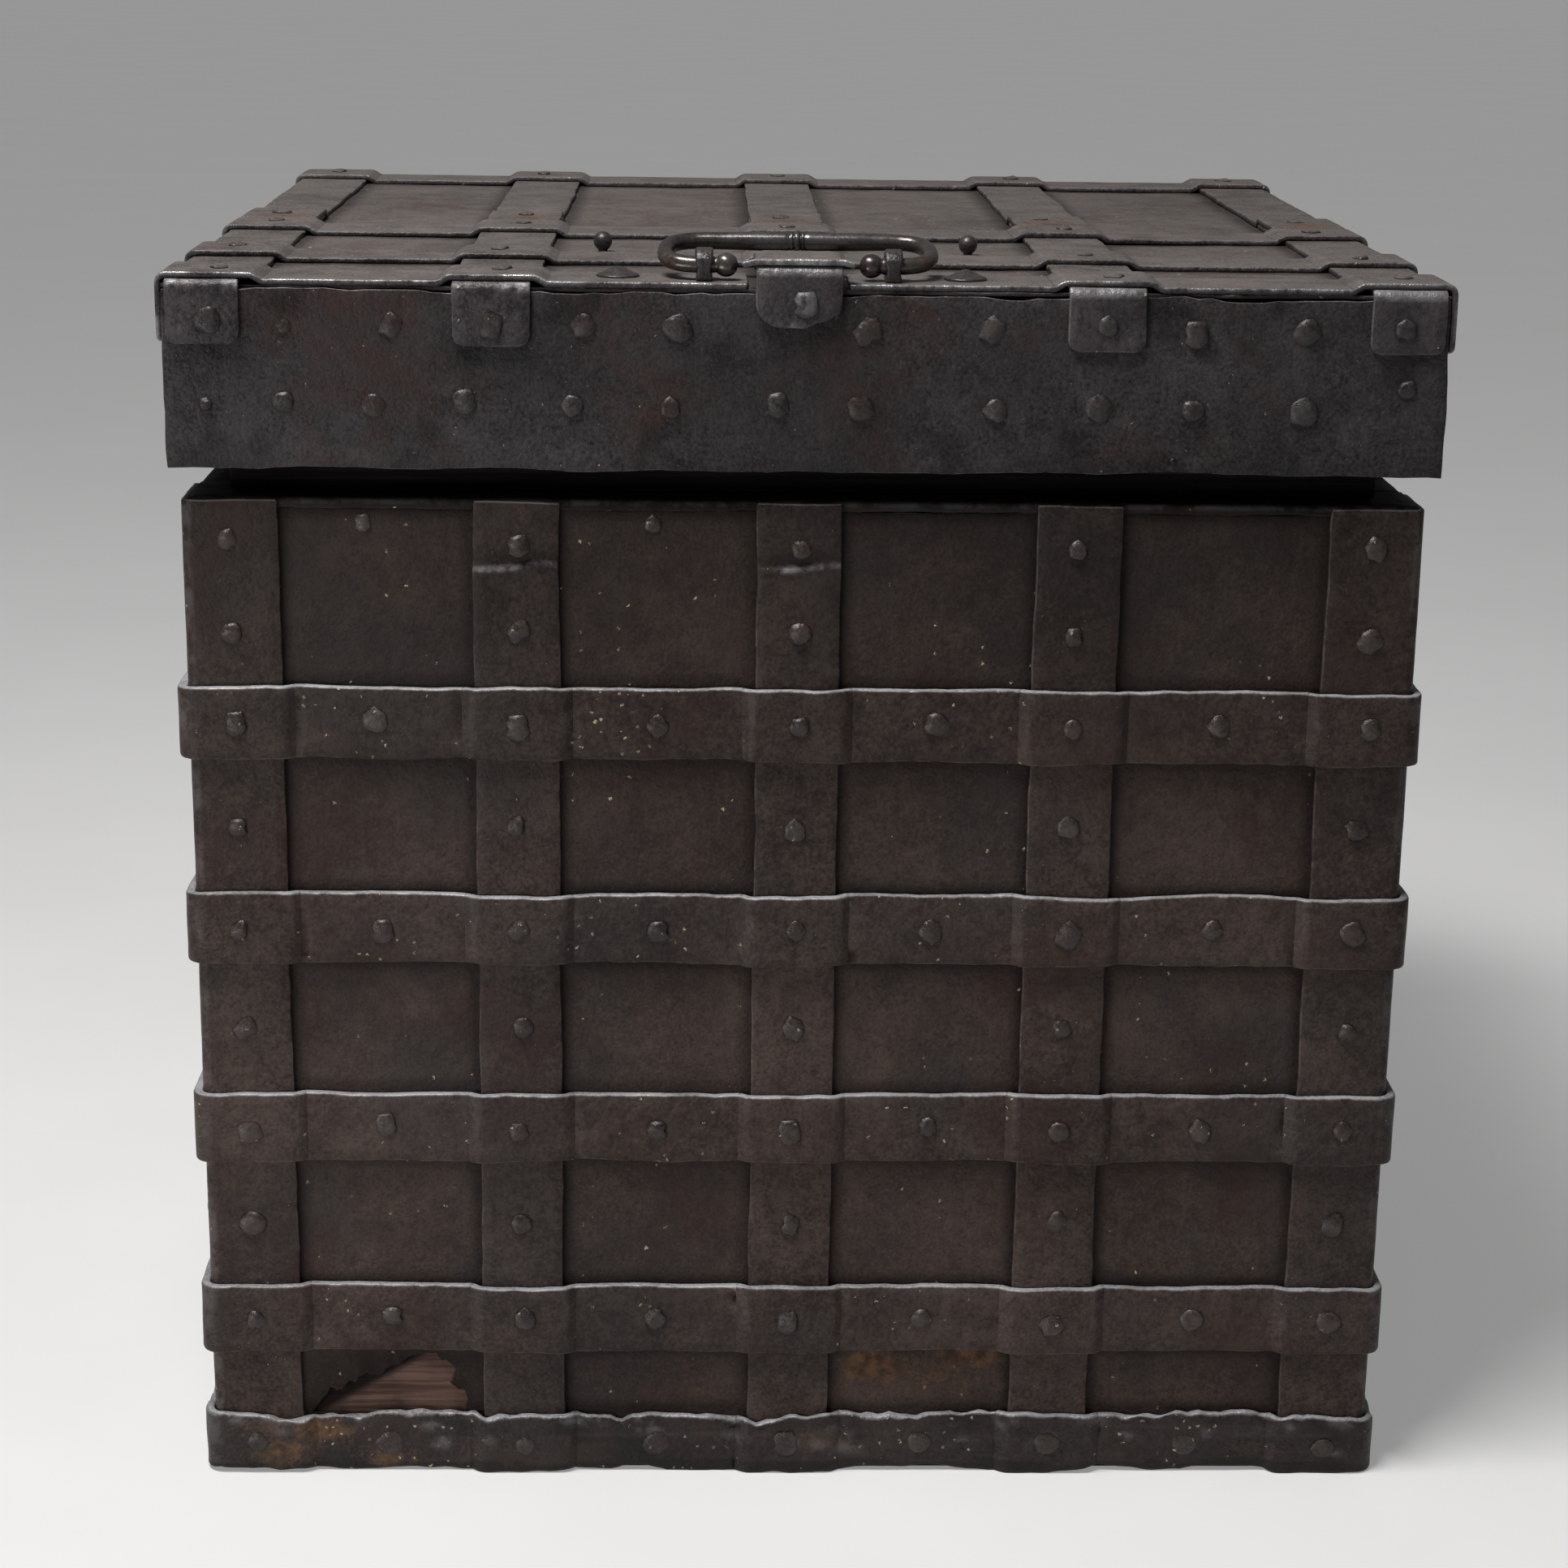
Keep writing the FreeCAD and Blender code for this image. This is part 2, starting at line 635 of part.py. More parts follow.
save("ball_knobs", *[ball_knob(stud_middle + side * knob_place) for side in (-1, 1)])
domes = []
for side in (-1, 1):
    dome_spot = Vector(stud_middle + side * dome_place, lid_front + dome_setback, strap_top)
    domes.append(rivet_head(dome_width / 2, dome_height, dome_spot, Z_AXIS))
save("dome_bosses", *domes)

# Rivets of the lid
apron_heads = []


def even_places(half):
    reach = half - apron_rivet_margin
    gaps = max(2, round(2 * reach / apron_rivet_pitch))
    return [-reach + 2 * reach * number / gaps for number in range(gaps + 1)]


apron_level = apron_bottom + apron_rivet_rise
upper_level = apron_bottom + apron_upper_rise
drop_rivet_level = drop_level + drop_rivet_rise
strap_reach = strap_half + rivet_radius
cross_middles = [y + cross_strap_width / 2 for y in cross_fronts + (lid_front,)]
# Each side of the lid is its running direction, outward direction, half length and distance,
# then the places of its plain and of its hinged strap ends.
lid_sides = (
    (X_AXIS, -Y_AXIS, lid_half_width, lid_half_depth, lid_straps, ()),
    (Y_AXIS, X_AXIS, lid_half_depth, lid_half_width, cross_middles, ()),
    (X_AXIS, Y_AXIS, lid_half_width, lid_half_depth, plain_rear, hinged_straps),
    (Y_AXIS, -X_AXIS, lid_half_depth, lid_half_width, cross_middles, ()),
)
for along, out, half, distance, drops, tails in lid_sides:
    spots = []
    for place in even_places(half):
        if all(abs(place - tail) > strap_reach for tail in tails):
            spots.append((place, 0, apron_level))
        if all(abs(place - drop) > strap_reach for drop in list(drops) + list(tails)):
            spots.append((place, 0, upper_level))
    for drop in drops:
        if drop == lid_strap_centre and out == -Y_AXIS:
            spots.append((drop, lid_strap_thickness + raised_apron_gap, raised_end + drop_rivet_rise))
        else:
            spots.append((drop, lid_strap_thickness, drop_rivet_level))
    for tail in tails:
        spots += [(tail, lid_strap_thickness, apron_level), (tail, lid_strap_thickness, upper_level)]
    for place, height, level in spots:
        spot = along * place + out * (distance + height) + Z_AXIS * level
        apron_heads.append(rivet_head(rivet_radius, rivet_height, spot, out))
save("apron_rivets", *apron_heads)

top_heads = []
crossing_level = strap_top + lid_strap_thickness
for y_middle in cross_middles:
    for x in lid_straps:
        if y_middle != cross_middles[-1] or x != lid_strap_centre:
            spot = Vector(x, y_middle, crossing_level)
            top_heads.append(rivet_head(lid_rivet_radius, lid_rivet_height, spot, Z_AXIS))
for x in lid_straps:
    spot = Vector(x, (lap_start + lap_end) / 2, crossing_level)
    top_heads.append(rivet_head(lid_rivet_radius, lid_rivet_height, spot, Z_AXIS))
save("lid_top_rivets", *top_heads)

# Strap hinges: the lid's two hinge straps end in an eye, between the two eyes of a leaf on the box
hinge_bottom = apron_bottom + hinge_tail_gap
eye_radius = hinge_pin_radius + hinge_running


def hinge_strap(x):
    eye_start = Vector(x - knuckle_length / 2, hinge_y, hinge_z)
    eye_x = (eye_start.x, eye_start.x + knuckle_length)
    tongue_y = (lid_half_depth, lid_half_depth + lid_strap_thickness)
    tongue = block(eye_x, tongue_y, (hinge_z, hinge_bottom))
    barrel = rod(barrel_radius, eye_start, X_AXIS, knuckle_length)
    strap = rear_length(x, hinge_bottom).fuse(tongue).fuse(barrel)
    return strap.cut(rod(eye_radius, eye_start, X_AXIS, knuckle_length)).removeSplitter()


def hinge_leaf(x):
    leaf_start = Vector(x - lid_strap_width / 2, hinge_y, hinge_z)
    path = [(lid_half_depth + hinge_running, hinge_z - hinge_running),
            (outer_y, leaf_top), (outer_y, leaf_bottom)]
    barrel = rod(barrel_radius, leaf_start, X_AXIS, lid_strap_width)
    leaf = strap_along_y(path, leaf_thickness, x, lid_strap_width).fuse(barrel)
    leaf = leaf.cut(rod(hinge_pin_radius, leaf_start, X_AXIS, lid_strap_width))
    notch_length = knuckle_length + 2 * knuckle_gap
    notch_start = Vector(x - notch_length / 2, hinge_y, hinge_z)
    return leaf.cut(rod(barrel_radius + hinge_sweep_gap, notch_start, X_AXIS, notch_length)).removeSplitter()


def hinge_pin(x):
    start = Vector(x - lid_strap_width / 2 - hinge_pin_head, hinge_y, hinge_z)
    pin = rod(hinge_pin_radius, start, X_AXIS, lid_strap_width + 2 * hinge_pin_head)
    head = rod(hinge_pin_radius + hinge_pin_head / 2, start, X_AXIS, hinge_pin_head)
    return pin.fuse(head).removeSplitter()


save("lid_hinge_straps", *[hinge_strap(x) for x in hinged_straps])
save("hinge_leaves", *[hinge_leaf(x) for x in hinged_straps])
save("hinge_pins", *[hinge_pin(x) for x in hinged_straps])

# Lock: a key turns a disc whose three pins push three bolts into strikes that stand up from the box
plate_bottom = lid_ceiling - lock_plate_thickness
disc_top = plate_bottom - bolt_slack
disc_bottom = disc_top - disc_thickness
bolt_top = disc_bottom - bolt_slack
bolt_bottom = bolt_top - bolt_thickness
hub_start = Vector(key_x, key_y, disc_top)
half_turn = math.asin(bolt_throw / (2 * drive_radius))
pin_offset = drive_radius * math.cos(half_turn)
slot_half = drive_pin_radius + slot_slack
slot_near = pin_offset - slot_half
slot_far = drive_radius + slot_half
bolt_line = (slot_near + slot_far) / 2
tail_end = bolt_throw / 2 + slot_half + slot_end_wall

plate_x = (key_x - lock_plate_width / 2, key_x + lock_plate_width / 2)
plate_y = (key_y - lock_plate_depth / 2, key_y + lock_plate_depth / 2)
plate_middle = Vector(key_x, key_y, plate_bottom)
hub_hole = rod(disc_hub_radius + disc_running, plate_middle, Z_AXIS, lock_plate_thickness)
save("lock_plate", block(plate_x, plate_y, (plate_bottom, lid_ceiling)).cut(hub_hole))

disc = rod(disc_radius, Vector(key_x, key_y, disc_bottom), Z_AXIS, disc_thickness)
disc = disc.fuse(rod(disc_hub_radius, hub_start, Z_AXIS, bolt_slack + lock_plate_thickness))
socket_x = (key_x - key_square / 2, key_x + key_square / 2)
socket_y = (key_y - key_square / 2, key_y + key_square / 2)
disc = disc.cut(block(socket_x, socket_y, (disc_bottom, lid_ceiling)))
# Each bolt leaves along its own direction, with its line to one side of the key
bolt_runs = {"bolt_left": (-X_AXIS, Y_AXIS), "bolt_right": (X_AXIS, -Y_AXIS),
             "bolt_front": (-Y_AXIS, -X_AXIS)}
for leave, offset in bolt_runs.values():
    pin_spot = Vector(key_x, key_y, bolt_bottom) + offset * pin_offset - leave * (bolt_throw / 2)
    disc = disc.fuse(rod(drive_pin_radius, pin_spot, Z_AXIS, disc_bottom - bolt_bottom))
save("key_disc", disc.removeSplitter())


def bar(leave, offset, start, end, near, far, bottom, top):
    """A block given along a bolt's own directions, measured from the key."""
    origin = Vector(key_x, key_y, 0)
    first = origin + leave * start + offset * near
    second = origin + leave * end + offset * far
    return block(sorted((first.x, second.x)), sorted((first.y, second.y)), (bottom, top))


wall_distance = {"bolt_left": mouth_half_width + key_x, "bolt_right": mouth_half_width - key_x,
                 "bolt_front": mouth_half_depth + key_y}
plate_reach = {"bolt_left": lock_plate_width / 2, "bolt_right": lock_plate_width / 2,
               "bolt_front": lock_plate_depth / 2}
bolt_near = bolt_line - bolt_width / 2
bolt_far = bolt_line + bolt_width / 2
strikes = {}
guides = []
for name, (leave, offset) in bolt_runs.items():
    strike_face = wall_distance[name] - strike_thickness
    tip = strike_face - bolt_reach
    bolt = bar(leave, offset, -tail_end, tip, bolt_near, bolt_far, bolt_bottom, bolt_top)
    slot = bar(leave, offset, -bolt_throw / 2 - slot_half, -bolt_throw / 2 + slot_half, slot_near, slot_far,
               bolt_bottom, bolt_top)
    save(name, bolt.cut(slot))
    outer_guide = strike_face - guide_strike_gap - guide_length
    for place in (plate_reach[name] + guide_plate_gap, outer_guide):
        hole_near = bolt_near - bolt_slack
        hole_far = bolt_far + bolt_slack
        floor = bolt_bottom - bolt_slack
        end = place + guide_length
        guide = bar(leave, offset, place, end, hole_near - guide_wall, hole_far + guide_wall,
                    floor - guide_wall, lid_ceiling)
        hole = bar(leave, offset, place, end, hole_near, hole_far, floor, lid_ceiling)
        guides.append(guide.cut(hole))
    window_low = bolt_bottom - strike_window_slack
    window_high = bolt_top + strike_window_slack
    strike = bar(leave, offset, strike_face, wall_distance[name], bolt_line - strike_width / 2,
                 bolt_line + strike_width / 2, box_height - strike_foot, window_high + strike_top_wall)
    window = bar(leave, offset, strike_face, wall_distance[name], bolt_near - strike_window_slack,
                 bolt_far + strike_window_slack, window_low, window_high)
    strikes[name] = strike.cut(window)
save("bolt_guides", *guides)
save("side_strikes", strikes["bolt_left"], strikes["bolt_right"])
save("front_strike", strikes["bolt_front"])
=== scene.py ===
import bisect
import json
import math
import random

import bmesh
import bpy
from mathutils import Matrix, Vector, noise


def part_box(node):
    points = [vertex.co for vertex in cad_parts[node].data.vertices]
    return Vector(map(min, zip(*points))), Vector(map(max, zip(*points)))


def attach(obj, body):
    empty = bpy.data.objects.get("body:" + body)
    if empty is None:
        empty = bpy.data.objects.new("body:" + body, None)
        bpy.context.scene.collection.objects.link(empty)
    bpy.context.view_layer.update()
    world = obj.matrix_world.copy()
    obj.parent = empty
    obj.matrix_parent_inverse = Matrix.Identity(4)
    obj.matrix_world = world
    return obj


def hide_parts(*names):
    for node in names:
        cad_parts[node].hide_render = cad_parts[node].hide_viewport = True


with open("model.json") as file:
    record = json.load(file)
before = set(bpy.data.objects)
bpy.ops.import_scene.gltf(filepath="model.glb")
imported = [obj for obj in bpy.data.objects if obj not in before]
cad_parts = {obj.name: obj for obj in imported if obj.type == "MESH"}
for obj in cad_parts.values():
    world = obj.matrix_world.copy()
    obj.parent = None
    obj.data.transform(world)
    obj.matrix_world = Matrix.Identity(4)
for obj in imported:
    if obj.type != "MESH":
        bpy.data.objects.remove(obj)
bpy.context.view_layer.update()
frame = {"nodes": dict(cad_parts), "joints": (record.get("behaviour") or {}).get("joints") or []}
bpy.context.scene.view_settings.view_transform = "Standard"


# Wooden box. Five thick softwood boards, nailed at the corners, carry the whole iron skin.
# They show inside when the lid is up, and red-brown through the torn place in the front sheet.
board_ease = 0.0015
same_place = 1e-6
flat_turn = math.radians(2)
curve_turns = (0.01, 0.5)
sharp_turn = math.radians(30)
fibres_across = 520
fibres_along = 16
rings_across = 90
rings_along = 5
stain_scale = 22
stain_share = 0.35
fibre_depth = 0.0012
tear_shade = (0.007, 0.0045, 0.0036, 1)
tear_waver = 0.004
tear_fade = 0.006


def merged_copy(node):
    """A working copy of a CAD node, with its loose triangles joined into whole faces."""
    work = bmesh.new()
    work.from_mesh(frame["nodes"][node].data)
    bmesh.ops.remove_doubles(work, verts=work.verts[:], dist=same_place)
    bmesh.ops.dissolve_limit(work, angle_limit=flat_turn, verts=work.verts[:], edges=work.edges[:])
    return work


def ease_arrises(work, ease, steps=2):
    """Takes the sharpness off every arris, as a plane or a file does."""
    least, most = curve_turns
    sharp = [edge for edge in work.edges if edge.is_manifold and edge.calc_face_angle() > sharp_turn]
    for face in work.faces:
        face.smooth = any(least < edge.calc_face_angle(0) < most for edge in face.edges)
    eased = bmesh.ops.bevel(work, geom=sharp, offset=ease, offset_type="OFFSET", segments=steps, profile=0.5,
                            affect="EDGES", material=-1, clamp_overlap=True)
    for face in eased["faces"]:
        face.smooth = True


def fit_piece(work, name, finish, body, slot, *nodes):
    """Makes a working mesh a finished piece that rides on a body and stands for CAD nodes."""
    mesh = bpy.data.meshes.new(name)
    work.to_mesh(mesh)
    work.free()
    if "custom_normal" in mesh.attributes:
        mesh.attributes.remove(mesh.attributes["custom_normal"])
    mesh.materials.clear()
    mesh.materials.append(finish)
    piece = bpy.data.objects.new(name, mesh)
    bpy.context.scene.collection.objects.link(piece)
    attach(piece, body)
    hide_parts(*nodes)
    return piece


def eased_piece(node, name, finish, body, slot, ease):
    """A piece that keeps the form of its CAD node, with its arrises eased."""
    work = merged_copy(node)
    ease_arrises(work, ease)
    return fit_piece(work, name, finish, body, slot, node)


def new_finish(name):
    finish = bpy.data.materials.new(name)
    finish.use_nodes = True
    return finish, finish.node_tree, finish.node_tree.nodes["Principled BSDF"]


def add(tree, kind, sockets, **settings):
    """Adds a node; a socket takes another node's output or a plain value."""
    made = tree.nodes.new("ShaderNode" + kind)
    for setting, value in settings.items():
        setattr(made, setting, value)
    for socket, value in sockets.items():
        if isinstance(value, bpy.types.NodeSocket):
            tree.links.new(value, made.inputs[socket])
        else:
            made.inputs[socket].default_value = value
    return made


def cloud(tree, spot, scale, detail, stretch=(1, 1, 1), shift=(0, 0, 0)):
    """Uneven blotches, so many to the metre."""
    moved = add(tree, "Mapping", {"Vector": spot, "Scale": stretch, "Location": shift})
    sockets = {"Vector": moved.outputs[0], "Scale": scale, "Detail": detail, "Roughness": 0.6}
    return add(tree, "TexNoise", sockets).outputs[0]


def soft_step(tree, value, low, high, bottom=0.0, top=1.0):
    sockets = {"Value": value, "From Min": low, "From Max": high, "To Min": bottom, "To Max": top}
    return add(tree, "MapRange", sockets, interpolation_type="SMOOTHSTEP").outputs[0]


def sums(tree, operation, first, second):
    return add(tree, "Math", {0: first, 1: second}, operation=operation).outputs[0]


def weighed(tree, *shares):
    """The sum of several patterns, each with its own weight."""
    total = None
    for pattern, weight in shares:
        part = sums(tree, "MULTIPLY", pattern, weight)
        total = part if total is None else sums(tree, "ADD", total, part)
    return total


def blend(tree, amount, first, second):
    return add(tree, "Mix", {0: amount, 6: first, 7: second}, data_type="RGBA").outputs[2]


def raise_grain(tree, shader, height, depth, strength):
    bump = add(tree, "Bump", {"Height": height, "Distance": depth, "Strength": strength})
    tree.links.new(bump.outputs[0], shader.inputs["Normal"])


def stretched(axis, across, along):
    """How often a pattern repeats to the metre along each axis, when it is drawn out along one of them."""
    return [along if number == axis else across for number in range(3)]


def old_wood(name, along, dark, light, torn_line=None):
    """Old softwood with its grain along one axis, and a painted shadow under a torn line where one is given.
    """
    finish, tree, shader = new_finish(name)
    spot = add(tree, "TexCoord", {}).outputs["Object"]
    fibre = cloud(tree, spot, 1, 5, stretched(along, fibres_across, fibres_along))
    rings = cloud(tree, spot, 1, 3, stretched(along, rings_across, rings_along), (4.3, 1.9, 7.7))
    stain = cloud(tree, spot, stain_scale, 5)
    tone = soft_step(tree, weighed(tree, (fibre, 0.55), (rings, 0.45)), 0.38, 0.62)
    colour = blend(tree, tone, dark, light)
    stain_colour = [stain_share * channel for channel in dark[:3]] + [1]
    colour = blend(tree, soft_step(tree, stain, 0.46, 0.7, 0.0, 0.7), colour, stain_colour)
    if torn_line:
        x, z, slope, front = torn_line
        parts = add(tree, "SeparateXYZ", {"Vector": spot}).outputs
        above = weighed(tree, (parts["X"], -slope), (parts["Z"], 1.0), (fibre, tear_waver))
        level = z - slope * x
        behind = soft_step(tree, above, level - tear_fade, level)
        shade = sums(tree, "MULTIPLY", behind, sums(tree, "LESS_THAN", parts["Y"], front))
        colour = blend(tree, shade, colour, tear_shade)
    tree.links.new(colour, shader.inputs["Base Color"])
    tree.links.new(soft_step(tree, fibre, 0.3, 0.7, 0.86, 0.66), shader.inputs["Roughness"])
    shader.inputs["Specular IOR Level"].default_value = 0.12
    raise_grain(tree, shader, weighed(tree, (fibre, 0.6), (rings, 0.4)), fibre_depth, 0.7)
    return finish


wood_dark = (0.055, 0.031, 0.024, 1)
wood_light = (0.16, 0.096, 0.077, 1)
wood_across = old_wood("softwood_across", 0, wood_dark, wood_light)
wood_back = old_wood("softwood_front_to_back", 1, wood_dark, wood_light)
# The painted shadow under the torn upper edge: a point on it, its slope, and the depth in front of which it
# is drawn.
tear_peak_x = -0.2017
tear_peak_z = 0.0642
tear_slope = 0.6
shade_reach = 0.003
shade_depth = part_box("box_front_board")[0].y + shade_reach
torn_line = (tear_peak_x, tear_peak_z, tear_slope, shade_depth)
wood_torn = old_wood("softwood_in_the_tear", 0, wood_dark, wood_light, torn_line)
box_boards = (("box_front_board", wood_torn), ("box_back_board", wood_across),
              ("box_floor_board", wood_across), ("box_left_board", wood_back), ("box_right_board", wood_back))
for node, finish in box_boards:
    eased_piece(node, node + "_planed", finish, "box", "old_wood", board_ease)


# Box sheets. Thin hammered iron is nailed to each wall and to the floor, browned with age.
# The front sheet has rusted through low in its left bay, and its edges curl round the bare wood.
wall_step = 0.0065
wall_edge = 0.0004
wall_dent = 0.00045
sheet_ease = 0.0004
seam_reach = 0.011
# Bends: where the outer skin starts, the dirt and painted shade in hollows, the most of a leg that bends, the
# turn per step
outer_skin = 0.001
hollow_dirt_and_shade = 2.2
leg_share = 0.49
bend_turn = 0.2
# How far in an edge wanders, and how often edges and dents change to the metre
edge_grip = 0.012
slow_waves = 19
quick_waves = 85
broad_dents = 11
small_dents = 60
# The iron's patterns, as blotches to the metre, and how deep they are
broad_scale = 7
cool_scale = 9
red_scale = 12
cluster_scale = 16
smudge_scale = 24
middle_scale = 52
grain_scale = 150
fleck_scale = 210.0
fine_scale = 520
crumb_scale = 900.0
relief_depth = 0.002
# The heights between which the painted shade high on the box grows, and how far they waver
upper_shade_low = 0.32
upper_shade_high = 0.58
upper_shade_waver = 0.09
# The tones of dust, iron, dirt and painted shade, rust and old paint, and the size of a crumb of paint
brown_dust = (0.11, 0.0945, 0.087, 1)
cool_dark = (0.013, 0.0128, 0.0138, 1)
cool_light = (0.034, 0.033, 0.0345, 1)
red_tone = (0.036, 0.0185, 0.0155, 1)
streak_tone = (0.07, 0.057, 0.051, 1)
dirt_and_shade_tone = (0.006, 0.0045, 0.004, 1)
worn_tone = (0.34, 0.335, 0.34, 1)
rust_tone = (0.12, 0.067, 0.037, 1)
old_rust_tone = (0.045, 0.027, 0.019, 1)
fleck_tone = (0.42, 0.34, 0.22, 1)
crumb_size = (0.0032, 0.0032, 0.0032)


def paint_flecks(tree, spot, rubbed, broad, fine, flecks):
    """Crumbs of old paint, strewn in clusters and along rubbed edges."""
    crumbs = add(tree, "TexNoise", {"Vector": spot, "Scale": crumb_scale, "Detail": 2.0}).outputs[1]
    crumbs = add(tree, "VectorMath", {0: crumbs, 1: crumb_size}, operation="MULTIPLY").outputs[0]
    crumbled = add(tree, "VectorMath", {0: spot, 1: crumbs}, operation="ADD").outputs[0]
    specks = add(tree, "TexVoronoi", {"Vector": crumbled, "Scale": fleck_scale, "Randomness": 1.0})
    drawn = add(tree, "SeparateXYZ", {"Vector": specks.outputs["Color"]}).outputs
    cluster = cloud(tree, spot, cluster_scale, 2, shift=(8.4, 2.2, 0.6))
    share = soft_step(tree, cluster, 0.4, 0.64, 0.03 * flecks, 0.45 * flecks)
    at_edges = soft_step(tree, rubbed, 0.01, 0.1, 0.0, 0.7 * flecks)
    share = sums(tree, "ADD", share, sums(tree, "MULTIPLY", at_edges, soft_step(tree, broad, 0.42, 0.6)))
    chosen = sums(tree, "LESS_THAN", drawn["X"], share)
    reach = soft_step(tree, drawn["Y"], 0.0, 1.0, 0.12, 0.27)
    uneven = weighed(tree, (specks.outputs["Distance"], 1.0), (fine, 0.22))
    fleck = sums(tree, "MULTIPLY", sums(tree, "LESS_THAN", uneven, reach), chosen)
    return sums(tree, "MULTIPLY", fleck, soft_step(tree, drawn["Z"], 0.0, 1.0, 0.3, 0.95))


def old_iron(name, dark, light, red, streaks=0.0, runs=(190, 190, 9), top_dust_and_sheen=0.6, flecks=0.5, rough=(0.4, 0.6),
             relief=0.55, shine=0.28, metal=0.0, blotches=0.5, painted_upper_shade=0.0, cool=0.35, dust_and_sheen_tone=brown_dust):
    """Blackened iron: mottled, dusty on top, worn along its edges, rusty where marked, and darkened with dirt
    and painted shade where marked; some finishes add painted shade high up or a painted sheen on top.
    """
    finish, tree, shader = new_finish(name)
    place = add(tree, "TexCoord", {})
    spot = place.outputs["Object"]
    broad = cloud(tree, spot, broad_scale, 3)
    middle = cloud(tree, spot, middle_scale, 5)
    fine = cloud(tree, spot, fine_scale, 4)
    grain = cloud(tree, spot, grain_scale, 6, shift=(5.5, 0.4, 2.6))
    mottle = weighed(tree, (broad, 0.28), (middle, 0.16), (grain, 0.2), (fine, 0.36))
    colour = blend(tree, soft_step(tree, mottle, 0.37, 0.64), dark, light)
    cool_cloud = cloud(tree, spot, cool_scale, 4, shift=(6.3, 2.9, 1.1))
    cool_patch = soft_step(tree, cool_cloud, 0.48, 0.64, 0.0, cool)
    colour = blend(tree, cool_patch, colour, blend(tree, fine, cool_dark, cool_light))
    red_cloud = cloud(tree, spot, red_scale, 5, shift=(3.1, 1.7, 5.2))
    red_patch = soft_step(tree, red_cloud, 0.5, 0.66, 0.0, red)
    colour = blend(tree, red_patch, colour, red_tone)
    smudge_cloud = cloud(tree, spot, smudge_scale, 6, shift=(0.7, 9.1, 4.4))
    smudge = soft_step(tree, smudge_cloud, 0.53, 0.66, 0.0, blotches)
    colour = blend(tree, smudge, colour, dark)
    if streaks:
        drawn_out = cloud(tree, spot, 1, 5, runs)
        colour = blend(tree, soft_step(tree, drawn_out, 0.5, 0.72, 0.0, streaks), colour, streak_tone)
        colour = blend(tree, soft_step(tree, drawn_out, 0.48, 0.3, 0.0, streaks), colour, dark)
    # Painted shade: the colour darkens towards the top of the box, under the lid.
    if painted_upper_shade:
        height = add(tree, "SeparateXYZ", {"Vector": spot}).outputs["Z"]
        uneven = weighed(tree, (height, 1.0), (broad, upper_shade_waver))
        upper_shaded = soft_step(tree, uneven, upper_shade_low, upper_shade_high, 0.0, painted_upper_shade)
        colour = blend(tree, upper_shaded, colour, dirt_and_shade_tone)
    # Dust settles on upward faces; a pale dust tone also paints a highlight there.
    upward = add(tree, "SeparateXYZ", {"Vector": place.outputs["Normal"]}).outputs["Z"]
    settled = soft_step(tree, weighed(tree, (broad, 0.2), (middle, 0.4), (fine, 0.4)), 0.36, 0.6, 0.4, 1.0)
    dust_and_sheen = sums(tree, "MULTIPLY", soft_step(tree, upward, 0.5, 0.97, 0.0, top_dust_and_sheen), settled)
    colour = blend(tree, dust_and_sheen, colour, dust_and_sheen_tone)
    # Dirt and painted shade where the layer marks them: along seams, in hollow bends, at torn edges and round
    # rivet feet.
    seamed = add(tree, "Attribute", {}, attribute_name="dirt_and_shade").outputs["Fac"]
    seam = soft_step(tree, weighed(tree, (seamed, 1.0), (grain, 0.6)), 0.5, 1.35, 0.0, 0.7)
    colour = blend(tree, seam, colour, dirt_and_shade_tone)
    rubbed = add(tree, "Attribute", {}, attribute_name="wear").outputs["Fac"]
    rubbing = soft_step(tree, weighed(tree, (middle, 0.6), (grain, 0.4)), 0.43, 0.58, 0.04, 1.0)
    worn = sums(tree, "MULTIPLY", rubbed, rubbing)
    colour = blend(tree, worn, colour, worn_tone)
    marked = add(tree, "Attribute", {}, attribute_name="rust").outputs["Fac"]
    crusty = weighed(tree, (marked, 1.0), (middle, 0.7), (fine, 0.5))
    rusty = soft_step(tree, crusty, 0.78, 1.25)
    rust_colour = blend(tree, soft_step(tree, grain, 0.36, 0.66), rust_tone, old_rust_tone)
    colour = blend(tree, rusty, colour, rust_colour)
    colour = blend(tree, paint_flecks(tree, spot, rubbed, broad, fine, flecks), colour, fleck_tone)
    tree.links.new(colour, shader.inputs["Base Color"])
    gloss = soft_step(tree, weighed(tree, (middle, 0.55), (fine, 0.45)), 0.34, 0.66, rough[0], rough[1])
    matt = sums(tree, "MAXIMUM", sums(tree, "MULTIPLY", dust_and_sheen, 0.6), sums(tree, "MULTIPLY", rusty, 0.85))
    gloss = sums(tree, "MAXIMUM", gloss, matt)
    gloss = sums(tree, "SUBTRACT", gloss, sums(tree, "MULTIPLY", worn, 0.16))
    tree.links.new(gloss, shader.inputs["Roughness"])
    bare = sums(tree, "MINIMUM", sums(tree, "ADD", sums(tree, "MULTIPLY", worn, 0.8), metal), 1.0)
    tree.links.new(bare, shader.inputs["Metallic"])
    shader.inputs["Specular IOR Level"].default_value = shine
    pitted = weighed(tree, (middle, 0.36), (grain, 0.42), (fine, 0.22))
    raise_grain(tree, shader, pitted, relief_depth, relief)
    return finish


